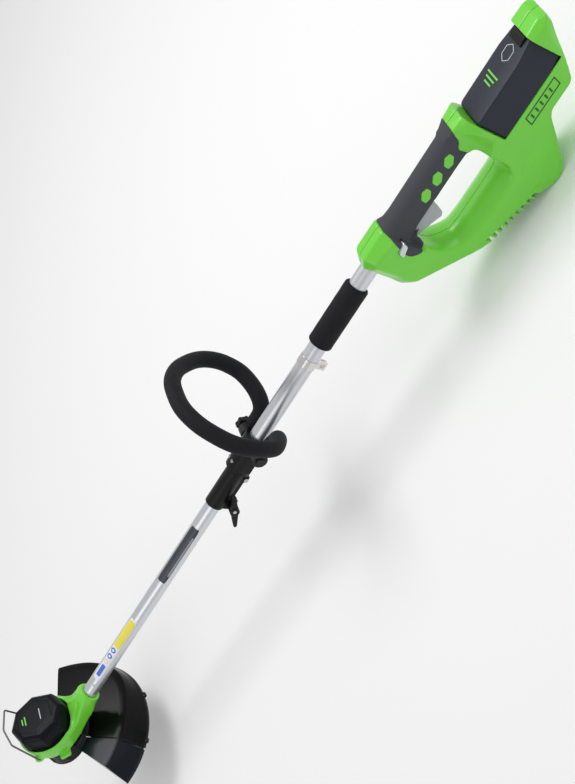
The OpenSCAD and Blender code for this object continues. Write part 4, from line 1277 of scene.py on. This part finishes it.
    def wire(self) -> None:
        """Build the guide wire: a round rod along straight runs.

        Each knee is the quadratic curve from one run to the next that starts
        and ends a bend's length from the corner.
        """
        u, y, z = -32.0, 36.0, 55.0
        path = np.array([
            (0, 3 - y, 0), (0, -y - 11, 0), (-18, -y - 2, 61), (-27, 0, 61),
            (-18, y + 2, 61), (0, y + 11, 0), (0, y - 3, 0),
        ]) + [u, 0, z]
        spans = []
        for k in range(len(path)):
            if k in (0, len(path) - 1):
                spans.append(path[k][None])
                continue
            a, b, c = path[k - 1], path[k], path[k + 1]
            p = b + (a - b) / np.linalg.norm(a - b) * self.rod_bend
            q = b + (c - b) / np.linalg.norm(c - b) * self.rod_bend
            t = np.linspace(0, 1, 7)[:, None]
            spans.append((1 - t) ** 2 * p + 2 * t * (1 - t) * b + t**2 * q)
        rod = pipe(np.concatenate(spans), self.rod_r, 16, (0.2, 0.1, 1.0))
        solid("guide_rod", rod, self.datum, WIRE, "guide_wire", "steel", ["guide_wire"], 60)

    def build(self) -> None:
        """Build and dress every piece of the head."""
        self.bracket()
        self.cover()
        self.cover_marks()
        self.guard()
        self.blade()
        self.wire()
        softened("spool_housing", "line_head", BLACK, 0.8, 2)
        softened("spool_cap", "line_head", BLACK, 0.8, 2)
        dress(STEEL, "cover_screws", "guard_screws", "motor_shaft", "motor_bearings", "motor_can")
        dress(STRAP, "line_eyelet")
        dress(COPPER, "rotor")
        dress(MAGNET, "motor_magnets")
        dress(CABLE, "motor_lead")
        dress(LINE, "line_tail", "spool_line")
        dress(PALE, "spool")


@dataclass
class Studio:
    """A pale floor, soft light all round and the camera. Sizes in mm.

    focal_share is the lens's focal length over the height of its image.
    """

    datum: Datum
    aim: float = -237.0
    reach: float = 2200.0
    sensor: float = 24.0
    focal_share: float = 1467.0 / 784.0

    def floor(self) -> None:
        """Lay a plain pale floor under the part's lowest point."""
        low = cad_bounds[0][2]
        mesh = bpy.data.meshes.new("floor")
        s = 9.0
        mesh.from_pydata([(-s, -s, low), (s, -s, low), (s, s, low), (-s, s, low)], [], [(0, 1, 2, 3)])
        mat = bpy.data.materials.new("pale_floor")
        mat.use_nodes = True
        shader = mat.node_tree.nodes["Principled BSDF"]
        shader.inputs["Base Color"].default_value = (0.90, 0.90, 0.90, 1)
        shader.inputs["Roughness"].default_value = 0.8
        mesh.materials.append(mat)
        piece = put("floor", mesh)

    def lamp(self, name: str, place: tuple[float, float, float], power: float, size: float) -> None:
        """Hang a soft square lamp that looks at the part's middle."""
        data = bpy.data.lights.new(name, "AREA")
        data.energy, data.size = power, size
        lamp = put(name, data)
        lamp.location = place
        lamp.rotation_euler = (Vector((0.1, 0, 0.15)) - Vector(place)).to_track_quat("-Z", "Y").to_euler()

    def lights(self) -> None:
        """Set a bright plain surround and three soft lamps."""
        world = bpy.data.worlds.new("studio")
        world.use_nodes = True
        back = world.node_tree.nodes["Background"]
        back.inputs["Color"].default_value = (1, 1, 1, 1)
        back.inputs["Strength"].default_value = 0.62
        bpy.context.scene.world = world
        self.lamp("key", (0.5, 1.1, 2.7), 34, 1.4)
        self.lamp("fill", (-1.8, -1.6, 1.9), 8, 1.6)
        self.lamp("rim", (1.9, -0.4, 1.5), 5, 1.0)

    def camera(self) -> None:
        """Stand the camera above and behind the operator's left."""
        back = np.array([0.45008, -0.71492, 0.53509])
        right = np.array([0.49151, -0.30195, -0.81685])
        up = np.array([0.74555, 0.63065, 0.21549])
        data = bpy.data.cameras.new("camera")
        data.sensor_fit = "VERTICAL"
        data.sensor_height = self.sensor
        data.lens = self.sensor * self.focal_share
        data.clip_end = 60
        cam = put("camera", data)
        at = self.datum.place([(self.aim, 0, 0)])[0] + back * self.reach * MM
        turn = np.stack([right, up, back], 1)
        cam.matrix_world = Matrix([(*row, at[k]) for k, row in enumerate(turn)] + [(0, 0, 0, 1)])
        bpy.context.scene.camera = cam
        bpy.context.scene.view_settings.view_transform = "Standard"

    def build(self) -> None:
        """Build the whole studio."""
        self.floor()
        self.lights()
        self.camera()


def main() -> None:
    """Build the trimmer's looks and the studio round it."""
    logging.basicConfig(level=logging.INFO, format="%(name)s: %(message)s")
    shaft, head = shaft_datum(), head_datum()
    assemblies = (Studio(shaft), RearHousing(shaft), Battery(shaft), Shaft(shaft), LoopHandle(shaft),
                  CuttingHead(head, shaft))
    for assembly in assemblies:
        assembly.build()
        log.info("%s done", type(assembly).__name__)
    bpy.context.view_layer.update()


if __name__ == "__main__":
    main()
